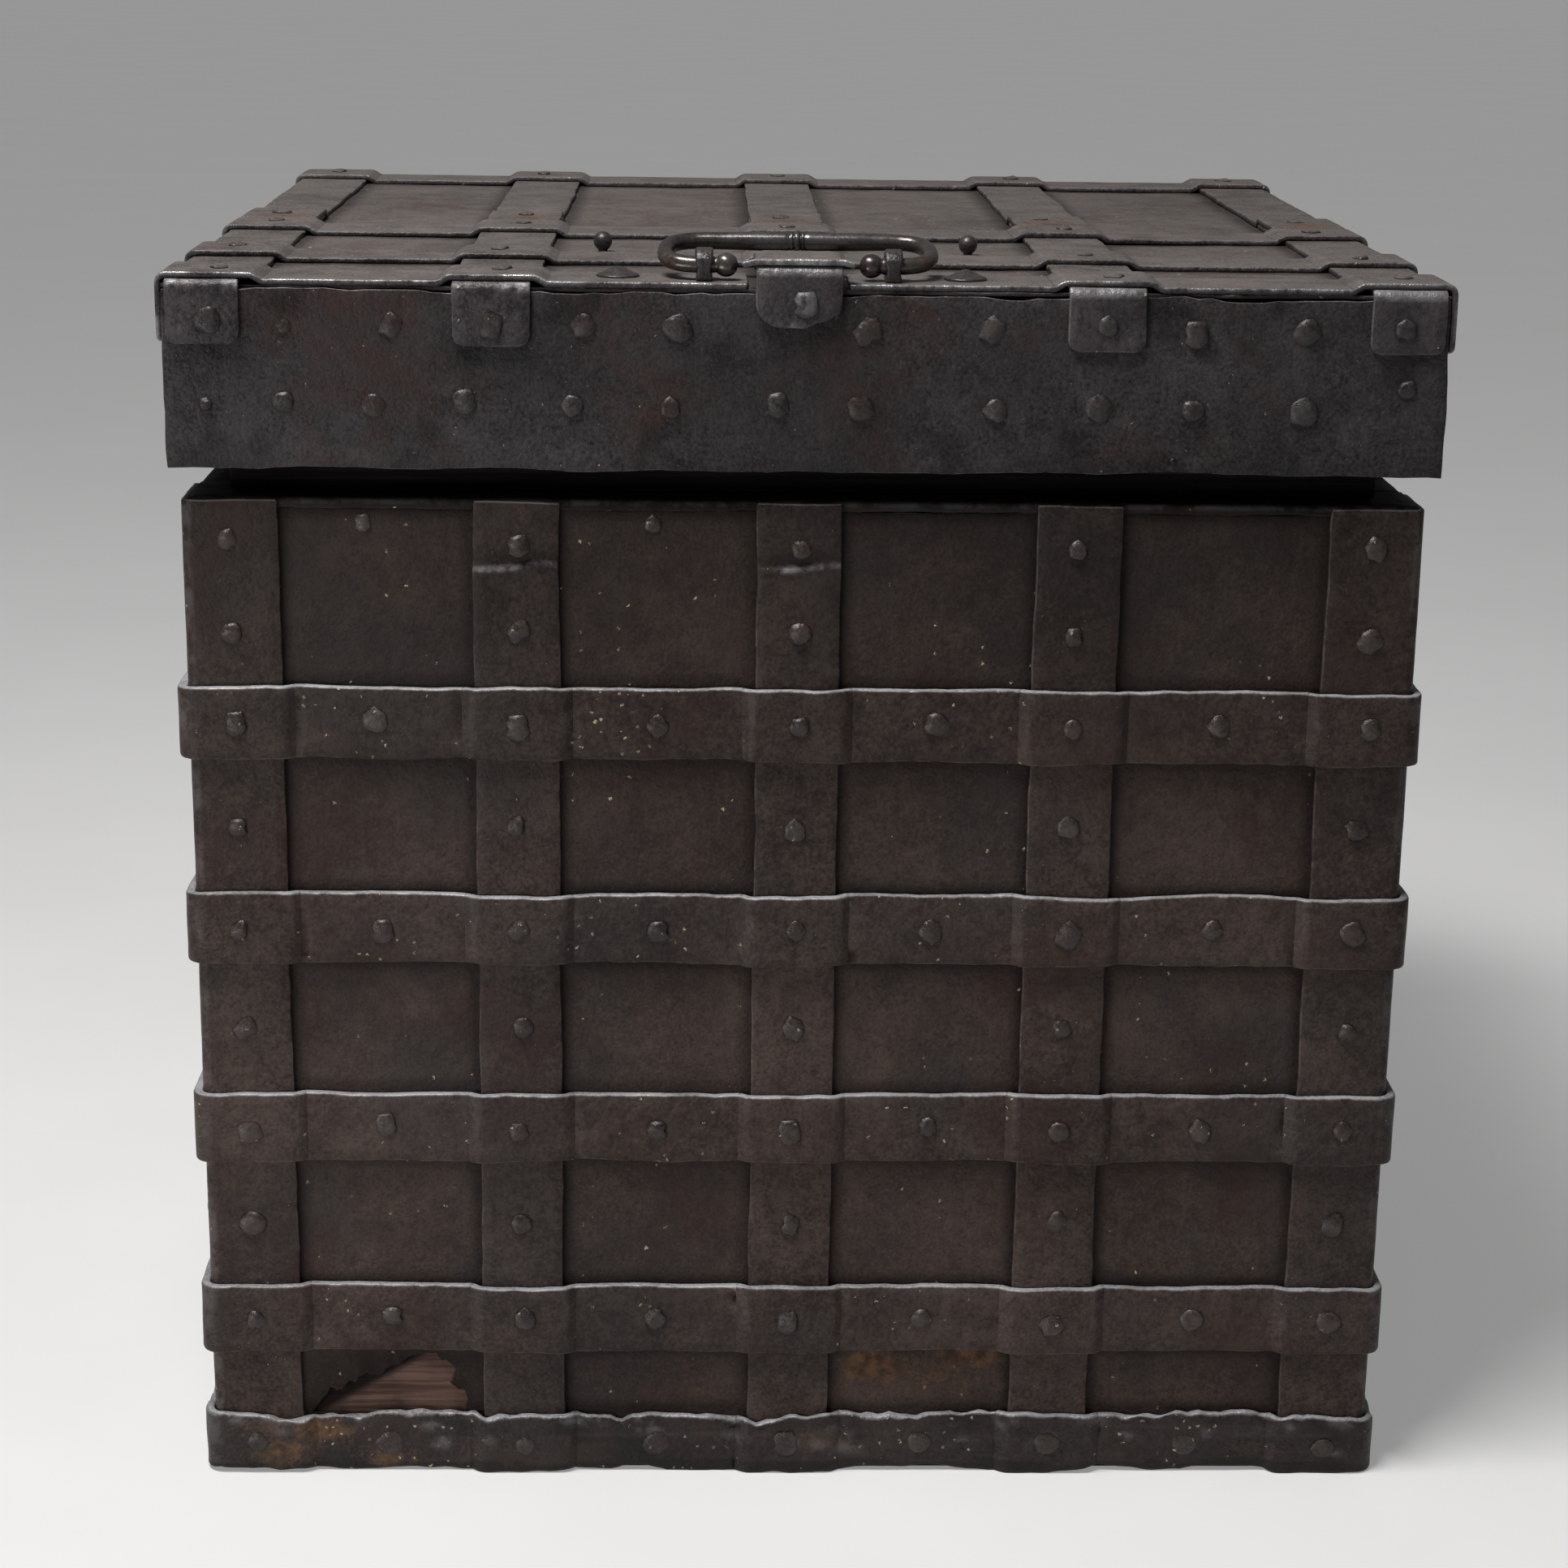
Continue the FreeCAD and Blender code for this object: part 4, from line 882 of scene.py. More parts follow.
def eat_away(band, low, high):
    """Leaves the base band's edges ragged and its foot in painted shade, its face crusty with rust, and pale
    worn patches on it that paint glints.
    """
    stand_on_floor(band)
    wear = band.verts.layers.float.get("wear")
    dirt_and_shade = band.verts.layers.float.get("dirt_and_shade")
    for vert in band.verts:
        spot = Vector((vert.co.x * eaten_waves, vert.co.y * eaten_waves, 4.2))
        # At the foot the band is kept unworn and darkened as painted shade, and lifted in ragged places.
        if vert.co.z < eaten_edge:
            lift = max(0.0, noise.noise(spot) + 0.5 * noise.noise(spot * 4) - 0.05)
            vert[dirt_and_shade] = 1.0
            vert[wear] = 0.0
            vert.co.z += eaten_lift * lift * (1 - vert.co.z / eaten_edge)
        if vert.co.z > high.z - eaten_edge:
            eaten = max(0.0, noise.noise(spot * 3) + 0.8 * noise.noise(spot * 9) + 0.15)
            vert.co.z -= eaten_drop * eaten
    for x, z, strength in base_rust:
        mark(band, "rust", (x, low.y, z), base_rust_reach, strength)
    # Worn pale patches on the face, placed to paint glints.
    chance = random.Random(31)
    for glint in range(glint_patches):
        x = chance.uniform(-glint_run, glint_run)
        z = high.z - glint_top - glint_depth * chance.random() ** 2
        reach = (chance.uniform(*glint_lengths), mark_depth, glint_height)
        mark(band, "wear", (x, low.y, z), reach, glint_rub)


band_path = band_corners()
for number in range(5):
    node = "band_%d" % number if number else "base_band"
    low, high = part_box(node)
    thickness = high.y + sheet_front - strap_thickness
    middle = (low.z + high.z) / 2
    forging = band_forging if number else base_forging
    band = forged_bar(band_path, high.z - low.z, thickness, upright(middle), 80 + number, **forging)
    band_wear = band.verts.layers.float.get("wear")
    for vert in band.verts:
        if vert.co.z < middle:
            vert[band_wear] *= under_rub
    if not number:
        eat_away(band, low, high)
    fit_piece(band, node + "_forged", band_iron if number else base_iron, "box", "strap_iron", node)


# Box rivets. Rivets with square or round heads go through straps, bands and boards,
# and each head is closed by hand, so no two heads are alike.
rivet_iron = old_iron("rivet_iron", (0.0125, 0.0088, 0.0075, 1), (0.056, 0.0402, 0.0342, 1), 0.5,
                      top_dust_and_sheen=0.8, flecks=1.6, rough=(0.18, 0.36), relief=0.9, shine=0.3, cool=0.08)
head_kinds = 10
head_sides = 12
square_powers = (3.2, 6.0)
round_powers = (2.0, 2.4)
most_waist = 0.2
most_polish = 0.06
head_uneven = 0.3
hammer_cuts = 3
cut_leans = (0.25, 0.9)
cut_depths = (0.66, 0.9)
head_sizes = (0.88, 1.22)
head_heights = (0.72, 1.0)
head_ovals = (0.9, 1.06)
head_outline = ((0.84, -0.15), (1.0, 0.16), (0.9, 0.56), (0.58, 0.86), (0.0, 1.0))


def spun(outline, axis, sides, merge=same_place):
    """A shape made by turning an outline in the plane of x and z once round an axis."""
    work = bmesh.new()
    rim = [work.verts.new((x, 0, z)) for x, z in outline]
    edges = [work.edges.new(pair) for pair in zip(rim, rim[1:])]
    bmesh.ops.spin(work, geom=rim + edges, cent=(0, 0, 0), axis=axis, dvec=(0, 0, 0), angle=math.tau,
                   steps=sides, use_merge=True)
    bmesh.ops.remove_doubles(work, verts=work.verts[:], dist=merge)
    bmesh.ops.recalc_face_normals(work, faces=work.faces[:])
    for face in work.faces:
        face.smooth = True
    return work


def head_kind(seed, square):
    """One uneven head, a unit wide and a unit high, square or round and faceted by the hammer."""
    chance = random.Random(seed)
    squareness = chance.uniform(*square_powers) if square else chance.uniform(*round_powers)
    waist = chance.uniform(0.0, most_waist) if square else 0.0
    work = spun(head_outline, (0, 0, 1), head_sides, merge=1e-4)
    wear = work.verts.layers.float.new("wear")
    dirt_and_shade = work.verts.layers.float.new("dirt_and_shade")
    polish = chance.uniform(0.0, most_polish)
    turn = chance.uniform(0, math.tau)
    cuts = []
    for number in range(hammer_cuts):
        lean = chance.uniform(*cut_leans)
        facing = chance.uniform(0, math.tau)
        cut = Vector((math.sin(lean) * math.cos(facing), math.sin(lean) * math.sin(facing), math.cos(lean)))
        cuts.append((cut, chance.uniform(*cut_depths)))
    for vert in work.verts:
        angle = math.atan2(vert.co.y, vert.co.x)
        spread = abs(math.cos(angle)) ** squareness + abs(math.sin(angle)) ** squareness
        spread **= -1 / squareness
        around = Vector((math.cos(angle) * 1.6, math.sin(angle) * 1.6, seed * 1.7))
        uneven = 1 + head_uneven * noise.noise(around)
        uneven += waist * math.cos(2 * angle)
        vert.co.x *= spread * uneven
        vert.co.y *= spread * uneven
        for cut, depth in cuts:
            over = cut.dot(vert.co) - depth
            if over > 0:
                vert.co -= cut * over
        vert[wear] = polish if vert.co.z > 0.5 else 0.0
        # The foot of the head is darkened as painted shade.
        vert[dirt_and_shade] = 1.0 if vert.co.z < 0.2 else 0.0
        vert.co = Matrix.Rotation(turn, 3, "Z") @ vert.co
    for edge in work.edges:
        edge.smooth = edge.is_boundary or edge.calc_face_angle() < 0.6
    kind = bpy.data.meshes.new("head_kind_%d" % seed)
    work.to_mesh(kind)
    work.free()
    return kind


square_heads = [head_kind(seed, True) for seed in range(head_kinds)]
round_heads = [head_kind(20 + seed, False) for seed in range(head_kinds)]


def close_rivet(work, spot, outward, radius, height, chance, kinds=square_heads + round_heads):
    """Adds one head to a mesh, standing on its spot."""
    kind = chance.choice(kinds)
    start = len(work.verts)
    work.from_mesh(kind)
    work.verts.ensure_lookup_table()
    size = chance.uniform(*head_sizes)
    low = height * chance.uniform(*head_heights)
    stretch = Matrix.Diagonal((radius * size * chance.uniform(*head_ovals), radius * size, low, 1))
    stand = Matrix.Translation(spot) @ outward.to_track_quat("Z", "Y").to_matrix().to_4x4() @ stretch
    for vert in work.verts[start:]:
        vert.co = stand @ vert.co


def rivet_places(node, outward):
    """Where the feet of a node's rivets are on the faces that look one way, and each head's size."""
    axis = max(range(3), key=lambda number: abs(outward[number]))
    places = []
    for low, high in lumps(node):
        sizes = high - low
        if sizes[axis] < min(sizes[other] for other in range(3) if other != axis):
            foot = (low + high) / 2
            foot[axis] = low[axis] if outward[axis] > 0 else high[axis]
            across = sizes[(axis + 1) % 3] / 2
            places.append((foot, across, sizes[axis]))
    return [place for place in places if place[0][axis] * outward[axis] > 0]


beaten_flat = 0.4
base_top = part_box("base_band")[1].z


def rivet_row(node, name, outwards, body, finish, seed, stray=0.0015):
    """All the heads of a node; those of the base band are beaten nearly flat."""
    chance = random.Random(seed)
    work = bmesh.new()
    work.verts.layers.float.new("wear")
    work.verts.layers.float.new("dirt_and_shade")
    for outward in outwards:
        facing = Vector(outward)
        for foot, radius, height in rivet_places(node, facing):
            shift = Vector([chance.uniform(-stray, stray) for axis in range(3)])
            shift -= facing * shift.dot(facing)
            height *= beaten_flat if foot.z < base_top else 1.0
            close_rivet(work, foot + shift, facing, radius, height, chance)
    return fit_piece(work, name, finish, body, "rivet_iron", node)


rivet_row("front_rivets", "front_rivet_heads", [(0, -1, 0)], "box", rivet_iron, 11)
rivet_row("side_rivets", "side_rivet_heads", [(-1, 0, 0), (1, 0, 0)], "box", rivet_iron, 12)
rivet_row("back_rivets", "back_rivet_heads", [(0, 1, 0)], "box", rivet_iron, 13)


# Strikes. Three plates stand up inside the mouth of the box, with a window for each bolt of the lock.
# They are filed smooth and only lightly browned.
lock_iron = old_iron("filed_lock_iron", (0.07, 0.066, 0.062, 1), (0.13, 0.122, 0.114, 1), 0.25,
                     top_dust_and_sheen=0.1, flecks=0.0, rough=(0.3, 0.48), relief=0.25)
filed_ease = 0.0007
eased_piece("side_strikes", "side_strikes_filed", lock_iron, "box", "lock_iron", filed_ease)
eased_piece("front_strike", "front_strike_filed", lock_iron, "box", "lock_iron", filed_ease)


# Lid boards. A top board and four outer boards make a deep tray, turned down over the box;
# an inner frame stands on the rim, and leaves the dark gap under the lid. The boards are iron-stained near
# black, which also paints the shade in that gap.
gap_shade_dark = (0.002, 0.0015, 0.0012, 1)
gap_shade_light = (0.006, 0.004, 0.003, 1)
stained_gap_shade_across = old_wood("iron_stained_wood_with_gap_shade_across", 0, gap_shade_dark, gap_shade_light)
stained_gap_shade_front_to_back = old_wood("iron_stained_wood_with_gap_shade_front_to_back", 1, gap_shade_dark, gap_shade_light)
for node in ("lid_top_board", "lid_front_board", "lid_back_board", "lid_frame_front", "lid_frame_back"):
    eased_piece(node, node + "_planed", stained_gap_shade_across, "lid", "old_wood", board_ease)
for node in ("lid_left_board", "lid_right_board", "lid_frame_left", "lid_frame_right"):
    eased_piece(node, node + "_planed", stained_gap_shade_front_to_back, "lid", "old_wood", board_ease)


# Lid sheets. One sheet covers the top, and four hang down as an apron, blue-black and hand-polished.
# The front one's upper edge is ragged where it was cut off under the front strap.
apron_iron = old_iron("apron_sheet_iron", (0.0065, 0.0057, 0.006, 1), (0.056, 0.0493, 0.0505, 1), 0.6,
                      top_dust_and_sheen=0.4, flecks=3.0, rough=(0.24, 0.46), relief=1.0, shine=0.13, cool=0.5)
lid_sheet_iron = old_iron("lid_top_sheet_iron", (0.03, 0.0245, 0.022, 1), (0.08, 0.066, 0.06, 1), 0.9,
                          top_dust_and_sheen=0.75, flecks=0.4, rough=(0.46, 0.66), relief=0.8, shine=0.16)
top_low, top_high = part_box("lid_top_sheet")
apron_low, apron_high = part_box("apron_front")
lid_right = top_high.x
lid_back = top_high.y
lid_top = top_high.z
apron_inner = apron_high.y
ragged_reach = 0.004
ragged_depth = 0.002
top_edge = 0.0005
top_dent = 0.0006
front_cut_reach = 0.003
front_cut_depth = 0.0025


def ragged(work, level, depth, seed):
    """Tears an upper edge down in places, to no more than a depth."""
    for vert in work.verts:
        if vert.co.z > level - ragged_reach:
            spot = Vector((vert.co.x * 45 + vert.co.y * 31, seed, 0))
            torn = max(0.0, noise.noise(spot) + 0.8 * noise.noise(spot * 4) + 0.2)
            vert.co.z -= depth * torn


lid_walls = wall_runs(lid_right, apron_inner, lid_right - sheet)
# Each apron's node, how far its edges wander, how deep its dents are, and its seed
aprons = (("front", "apron_front", 0.0013, 0.0006, 101), ("back", "apron_back", 0.0009, 0.0005, 103),
          ("left", "apron_sides", 0.0009, 0.0005, 105), ("right", "apron_sides", 0.0009, 0.0005, 107))
for name, node, edge, face, seed in aprons:
    apron = wall_sheet(lid_walls[name], apron_low.z, apron_high.z, edge, face, seed)
    if name == "front":
        ragged(apron, apron_high.z, ragged_depth, 1.5)
    fit_piece(apron, "apron_%s_beaten" % name, apron_iron, "lid", "sheet_iron", node)

key_x = (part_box("key_disc")[0].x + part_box("key_disc")[1].x) / 2
key_y = -0.105
keyhole_radius = 0.004
keyhole_slot = 0.00175
keyhole_end = 0.011


def keyhole_outline():
    """A round hole with a slot towards the front, about the key's own line."""
    shoulder = math.asin(keyhole_slot / keyhole_radius)
    outline = [(-keyhole_slot, -keyhole_end), (keyhole_slot, -keyhole_end)]
    for number in range(13):
        angle = -math.pi / 2 + shoulder + (math.tau - 2 * shoulder) * number / 12
        outline.append((keyhole_radius * math.cos(angle), keyhole_radius * math.sin(angle)))
    return outline


lid_run = bent_line([(-lid_right, lid_top - sheet, 0), (lid_right, lid_top - sheet, 0)])
key_in_sheet = [(lid_right + key_x + x, key_y + y) for x, y in keyhole_outline()]
lid_stops = stops_along(lid_run, wall_step)
top_sheet = iron_blank(lid_stops, 2 * lid_back, sheet, wall_step, sheet_ease, [key_in_sheet])
hammer(top_sheet, 2 * lid_right, 2 * lid_back, sheet, top_edge, top_dent, 109)
for vert in top_sheet.verts:
    if vert.co.y < -lid_back + front_cut_reach:
        vert.co.y += front_cut_depth * max(0.0, 0.4 + noise.noise(Vector((vert.co.x * 40, 2.2, 0))))
lay(top_sheet, lid_run, across_y(0))
# Dirt and painted shade on the top sheet along the straps.
lid_seam_reach = 0.016
seam_dirt_and_shade(top_sheet, lid_seam_reach, (0, bar_edges(0, "lid_front_straps", "lid_centre_strap")),
          (1, bar_edges(1, "cross_straps", "front_cross_straps")))
fit_piece(top_sheet, "lid_top_sheet_beaten", lid_sheet_iron, "lid", "sheet_iron", "lid_top_sheet")


# Front-to-back straps of the lid. Each is two lengths, lapped and riveted in the middle of the lid;
# the front ends fold down over the apron, and two of the rear lengths run on into the hinges.
lid_strap_iron = old_iron("lid_strap_iron", (0.0135, 0.0114, 0.012, 1), (0.07, 0.0595, 0.0625, 1), 0.3,
                          top_dust_and_sheen=1.0, flecks=0.6, rough=(0.2, 0.4), relief=1.1, shine=0.18, blotches=0.3)
fold_bend = 0.0028
drop_round = 0.006
fold_low, fold_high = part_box("lid_front_straps")
lid_front = top_low.y
drop_level = fold_low.z
lid_strap_thickness = fold_high.z - lid_top
lap_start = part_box("lid_rear_straps")[0].y
lap_end = fold_high.y
lid_strap_top = fold_high.z
start_rounding = (drop_round, (-1,), (-1, 1))
end_rounding = (drop_round, (1,), (-1, 1))
lid_forging = dict(edge=0.0007, face=0.0003, step=0.0055)
lap_rust_reach = (0.04, 0.05, 0.02)


def fit_lid_strap(bar, name, node):
    """Fits a piece of the lid's bar iron."""
    fit_piece(bar, name, lid_strap_iron, "lid", "strap_iron", node)


def lid_strap(corners, low, high, seed, rounding, holes=()):
    """A strap that runs from front to back, as wide as its CAD solid."""
    place = across_x((low.x + high.x) / 2)
    return forged_bar(corners, high.x - low.x, lid_strap_thickness, place, seed, rounding=rounding,
                      holes=holes, rub=0.2, bend_rub=0.4, **lid_forging)


front_fold = [(lid_front, drop_level, 0), (lid_front, lid_top, fold_bend), (lap_end, lid_top, 0)]
cut_in_end = 0.03
cut_in_fade = 0.015
# How far each drop plate is cut in at its left and at its right
cut_in = ((-0.0002, 0.0055), (0.0012, 0.0022), (0.0015, 0.002), (0.0035, 0.0008))
for number, (low, high) in enumerate(lumps("lid_front_straps")):
    bar = lid_strap(front_fold, low, high, 120 + number, start_rounding)
    left_cut, right_cut = cut_in[number]
    for vert in bar.verts:
        part = (vert.co.x - low.x) / (high.x - low.x)
        fall = min(1.0, max(0.0, (lid_front + cut_in_end - vert.co.y) / cut_in_fade))
        vert.co.x += fall * (left_cut * (1 - part) - right_cut * part)
    fit_lid_strap(bar, "lid_strap_front_%d" % (number + 1), "lid_front_straps")
rear_run = [(lap_start, lid_strap_top, 0), (lap_end, lid_strap_top, joggle_bend),
            (lap_end + joggle_run, lid_top, joggle_bend), (lid_back, lid_top, fold_bend)]


def rear_length(low, high, seed, foot, rounding):
    """A rear length of a strap, rusty where it laps over the front one."""
    bar = lid_strap(rear_run + [(lid_back, foot, 0)], low, high, seed, rounding)
    mark(bar, "rust", ((low.x + high.x) / 2, lap_start, lid_strap_top), lap_rust_reach, 0.6)
    return bar


for number, (low, high) in enumerate(lumps("lid_rear_straps")):
    bar = rear_length(low, high, 130 + number, drop_level, end_rounding)
    fit_lid_strap(bar, "lid_strap_rear_%d" % (number + 1), "lid_rear_straps")

centre_low, centre_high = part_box("lid_centre_strap")
raised_under = centre_high.z - lid_strap_thickness
raised_face = centre_low.y + lid_strap_thickness
raised_length = 0.051
raised_back = lid_front + raised_length
ramp_gap = 0.001
ramp_bend = 0.012
ramp_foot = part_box("cross_straps")[0].y - ramp_gap
centre_run = [(raised_face, centre_low.z, 0), (raised_face, raised_under, fold_bend),
              (raised_back, raised_under, ramp_bend), (ramp_foot, lid_top, ramp_bend), (lap_end, lid_top, 0)]
centre_line = bent_line(centre_run)
key_along = centre_line[-1][0] - (lap_end - key_y)
key_in_strap = [(key_along + y, x) for x, y in keyhole_outline()]
centre_round = 0.012
centre_rounding = (centre_round, (-1,), (-1, 1))
centre_bar = lid_strap(centre_run, centre_low, centre_high, 140, centre_rounding, [key_in_strap])
chip_x = 0.003
chip_height = 0.0028
chip_reach = 0.004
tip_wear_reach = (0.03, mark_depth, 0.004)
tip_rust_reach = (0.018, mark_depth, 0.004)
tip_rust_left = 0.008
for vert in centre_bar.verts:
    if vert.co.y < lid_front and vert.co.z < centre_low.z + chip_reach and vert.co.x > chip_x:
        vert.co.z += chip_height
mark(centre_bar, "wear", (key_x, centre_low.y, centre_low.z), tip_wear_reach, 0.7)
mark(centre_bar, "rust", (key_x - tip_rust_left, centre_low.y, centre_low.z), tip_rust_reach, 0.5)
fit_lid_strap(centre_bar, "lid_strap_centre", "lid_centre_strap")


# Side-to-side straps of the lid. They are set down over the straps below and fold down the sides;
# the front one is in two lengths, cut away in the middle for the raised strap.
strap_boxes = lumps("lid_front_straps") + lumps("lid_centre_strap")
strap_boxes.sort(key=lambda box: box[0].x)
lid_half_strap = (centre_high.x - centre_low.x) / 2
lid_strap_middles = [(low.x + high.x) / 2 for low, high in strap_boxes]


def over_strap(middle):
    """The step up over a strap and down again."""
    return [(middle - lid_half_strap - joggle_run, lid_top, joggle_bend),
            (middle - lid_half_strap, lid_strap_top, joggle_bend),
            (middle + lid_half_strap, lid_strap_top, joggle_bend),
            (middle + lid_half_strap + joggle_run, lid_top, joggle_bend)]


left_end = [(-lid_right, drop_level, 0), (-lid_right, lid_strap_top, fold_bend)]
right_end = [(lid_right, lid_strap_top, fold_bend), (lid_right, drop_level, 0)]
left_half = left_end + over_strap(lid_strap_middles[0])[2:] + over_strap(lid_strap_middles[1])
right_half = over_strap(lid_strap_middles[3]) + over_strap(lid_strap_middles[4])[:2] + right_end
whole = left_half + over_strap(lid_strap_middles[2]) + right_half
both_rounding = (drop_round, (-1, 1), (-1, 1))


def cross_bar(corners, low, high, seed, rounding, rub=0.15):
    """A strap that runs from side to side, as wide as its CAD solid."""
    place = across_y((low.y + high.y) / 2)
    return forged_bar(corners, high.y - low.y, lid_strap_thickness, place, seed, rounding=rounding, rub=rub,
                      **lid_forging)


for number, (low, high) in enumerate(lumps("cross_straps")):
    bar = cross_bar(whole, low, high, 150 + number, both_rounding)
    fit_lid_strap(bar, "cross_strap_%d" % (number + 1), "cross_straps")
front_lengths = lumps("front_cross_straps")
left_stop = (front_lengths[0][1].x, lid_top, 0)
right_stop = (front_lengths[1][0].x, lid_top, 0)
front_rub = 0.8
left_bar = cross_bar(left_half + [left_stop], *front_lengths[0], 160, start_rounding, front_rub)
fit_lid_strap(left_bar, "front_cross_strap_left", "front_cross_straps")
right_bar = cross_bar([right_stop] + right_half, *front_lengths[1], 161, end_rounding, front_rub)
fit_lid_strap(right_bar, "front_cross_strap_right", "front_cross_straps")


# Bridge plate. A short plate with bent-down ends lies across the raised strap, under the handle.
# Its front edge is battered bright.
bridge_low, bridge_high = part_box("bridge_plate")
bridge_under = centre_high.z
bridge_flat = 0.006
bridge_bend = 0.006
bridge_ease = 0.0006
bridge_inset = 0.006
bridge_taper = 0.4
bridge_wear_reach = (0.04, 0.003, 0.006)
bridge_forging = dict(edge=0.0009, face=0.0002, step=0.004, rub=0.7)
bridge_run = [(bridge_low.x + bridge_ease, bridge_low.z, 0),
              (bridge_low.x + bridge_flat, bridge_under, bridge_bend),
              (bridge_high.x - bridge_flat, bridge_under, bridge_bend),
              (bridge_high.x - bridge_ease, bridge_low.z, 0)]
bridge_place = across_y((bridge_low.y + bridge_high.y) / 2)
bridge = forged_bar(bridge_run, bridge_high.y - bridge_low.y, bridge_high.z - bridge_under, bridge_place, 170,
                    **bridge_forging)
half_bridge = (bridge_high.x - bridge_low.x) / 2
for vert in bridge.verts:
    inset = min(bridge_inset, bridge_taper * max(0.0, vert.co.y - bridge_low.y))
    vert.co.x -= (vert.co.x - key_x) / half_bridge * inset
mark(bridge, "wear", (key_x, bridge_low.y, bridge_high.z), bridge_wear_reach, 0.9)
fit_lid_strap(bridge, "bridge_plate_forged", "bridge_plate")


# Bail handle. It is forged from one rod that swells towards a turned collar, curls at each end
# through a post, and is closed with a ball. Hands have polished the grip and left the curls brown.
handle_iron = old_iron("handled_iron", (0.05, 0.043, 0.04, 1), (0.1, 0.088, 0.083, 1), 0.3,
                       top_dust_and_sheen=0.0, flecks=0.1, rough=(0.22, 0.34), relief=0.12, shine=0.5, metal=0.6,
                       blotches=0.25)
post_iron = old_iron("post_iron", (0.009, 0.0078, 0.0076, 1), (0.036, 0.0315, 0.0305, 1), 0.45,
                     top_dust_and_sheen=0.25, flecks=0.3, rough=(0.2, 0.36), relief=0.9, shine=0.3)
bail_joint = [joint for joint in frame["joints"] if joint["name"] == "bail_swing"][0]
bail_low, bail_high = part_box("bail")
pivot = Vector(bail_joint["pos_m"])
rod = 0.00405
rod_uneven = 0.00012
rod_step = 0.0016
rod_sides = 18
swell_run = 0.046
collar_step = 0.00045
ball_rings = 12
ball_place = 0.035
ball = 0.00585
ball_length = 0.0059
half_bail = (bail_high.x - bail_low.x) / 2 - rod
bail_reach = 0.038
bail_tip = math.radians(11.4)
curl = 0.0175
bail_corners = [(-ball_place + ball_length, 0, 0), (-half_bail, 0, curl),
                (-half_bail, bail_reach, curl * 1.1), (half_bail, bail_reach, curl * 1.1),
                (half_bail, 0, curl), (ball_place - ball_length, 0, 0)]
# The turned collar, as distances from the middle of the grip and the radius there
collar = ((0.0, 0.00545), (0.0009, 0.0054), (0.0015, 0.0041), (0.0019, 0.0042), (0.0024, 0.0051),
          (0.0031, 0.0051), (0.0036, 0.0042), (0.0044, 0.0046), (0.0058, 0.00475))


def bail_radius(along, length):
    """How thick the rod is at a place along it."""
    from_end = min(along, length - along)
    from_middle = abs(along - length / 2)
    if from_end < 2 * ball_length:
        egg = ball * math.sqrt(max(0.0, 1 - ((from_end - ball_length) / ball_length) ** 2))
        return egg if from_end < ball_length else max(egg, rod * 0.9)
    if from_middle < collar[-1][0]:
        for (near, thick), (far, thin) in zip(collar, collar[1:]):
            if from_middle <= far:
                return thick + (thin - thick) * (from_middle - near) / (far - near)
    swell = max(0.0, 1 - (from_middle - collar[-1][0]) / swell_run)
    uneven = rod_uneven * noise.noise(Vector((along * 120, 3.3, 0)))
    return rod + (collar[-1][1] - rod) * swell ** 0.8 + uneven


bail_line = bent_line(bail_corners)
bail_length = bail_line[-1][0]
ball_stops = [ball_length * 2 * number / ball_rings for number in range(ball_rings + 1)]
collar_stops = [bail_length / 2 + side * step * collar_step for side in (-1, 1) for step in range(15)]
rod_stops = [stop for stop in stops_along(bail_line, rod_step)
             if 2 * ball_length < stop < bail_length - 2 * ball_length]
far_ball_stops = [bail_length - stop for stop in ball_stops]
bail_stops = sorted(set(ball_stops + far_ball_stops + collar_stops + rod_stops))
bail = spun([(stop, bail_radius(stop, bail_length)) for stop in bail_stops], (1, 0, 0), rod_sides)
tip = Matrix.Rotation(bail_tip, 3, "X")
lay(bail, bail_line, lambda spot, across: pivot + tip @ Vector((spot.x, spot.y, across)))
wear = bail.verts.layers.float.new("wear")
rust = bail.verts.layers.float.new("rust")
grip_half = 0.045
grip_from = 0.02
grip_rub = 0.35
curl_from = 0.05
curl_fade = 0.012
curl_rust = 0.3
end_reach = 0.006
end_rust = 0.12
for vert in bail.verts:
    out = abs(vert.co.x - pivot.x)
    grip = max(0.0, 1 - out / grip_half) if vert.co.y > pivot.y + grip_from else 0.0
    vert[wear] = grip_rub * grip
    curled = min(1.0, max(0.0, (out - curl_from) / curl_fade))
    vert[rust] = curl_rust * curled + (end_rust if vert.co.y < pivot.y + end_reach else 0.0)
fit_piece(bail, "bail_forged", handle_iron, "bail", "handle_iron", "bail")


# Bail posts. Two flat eyes stand on the front strap, waisted below and flared at the head;
# their shanks go down through the lid.
post_ease = 0.0013
post_slices = 12
post_uneven = Vector((0.0002, 0.0002, 0))
head_from = 0.85
head_taper = 0.05
foot_rust = 0.5
foot_rust_to = 0.2
# How much a post is drawn in, at which part of its height, and how far up and down from there
waist_across = (0.24, 0.34, 0.22)
waist_through = (0.1, 0.2, 0.25)


def kept_width(up, depth, level, reach):
    """The share of its width that a post keeps at a part of its height."""
    return 1 - depth * math.exp(-((up - level) / reach) ** 2)


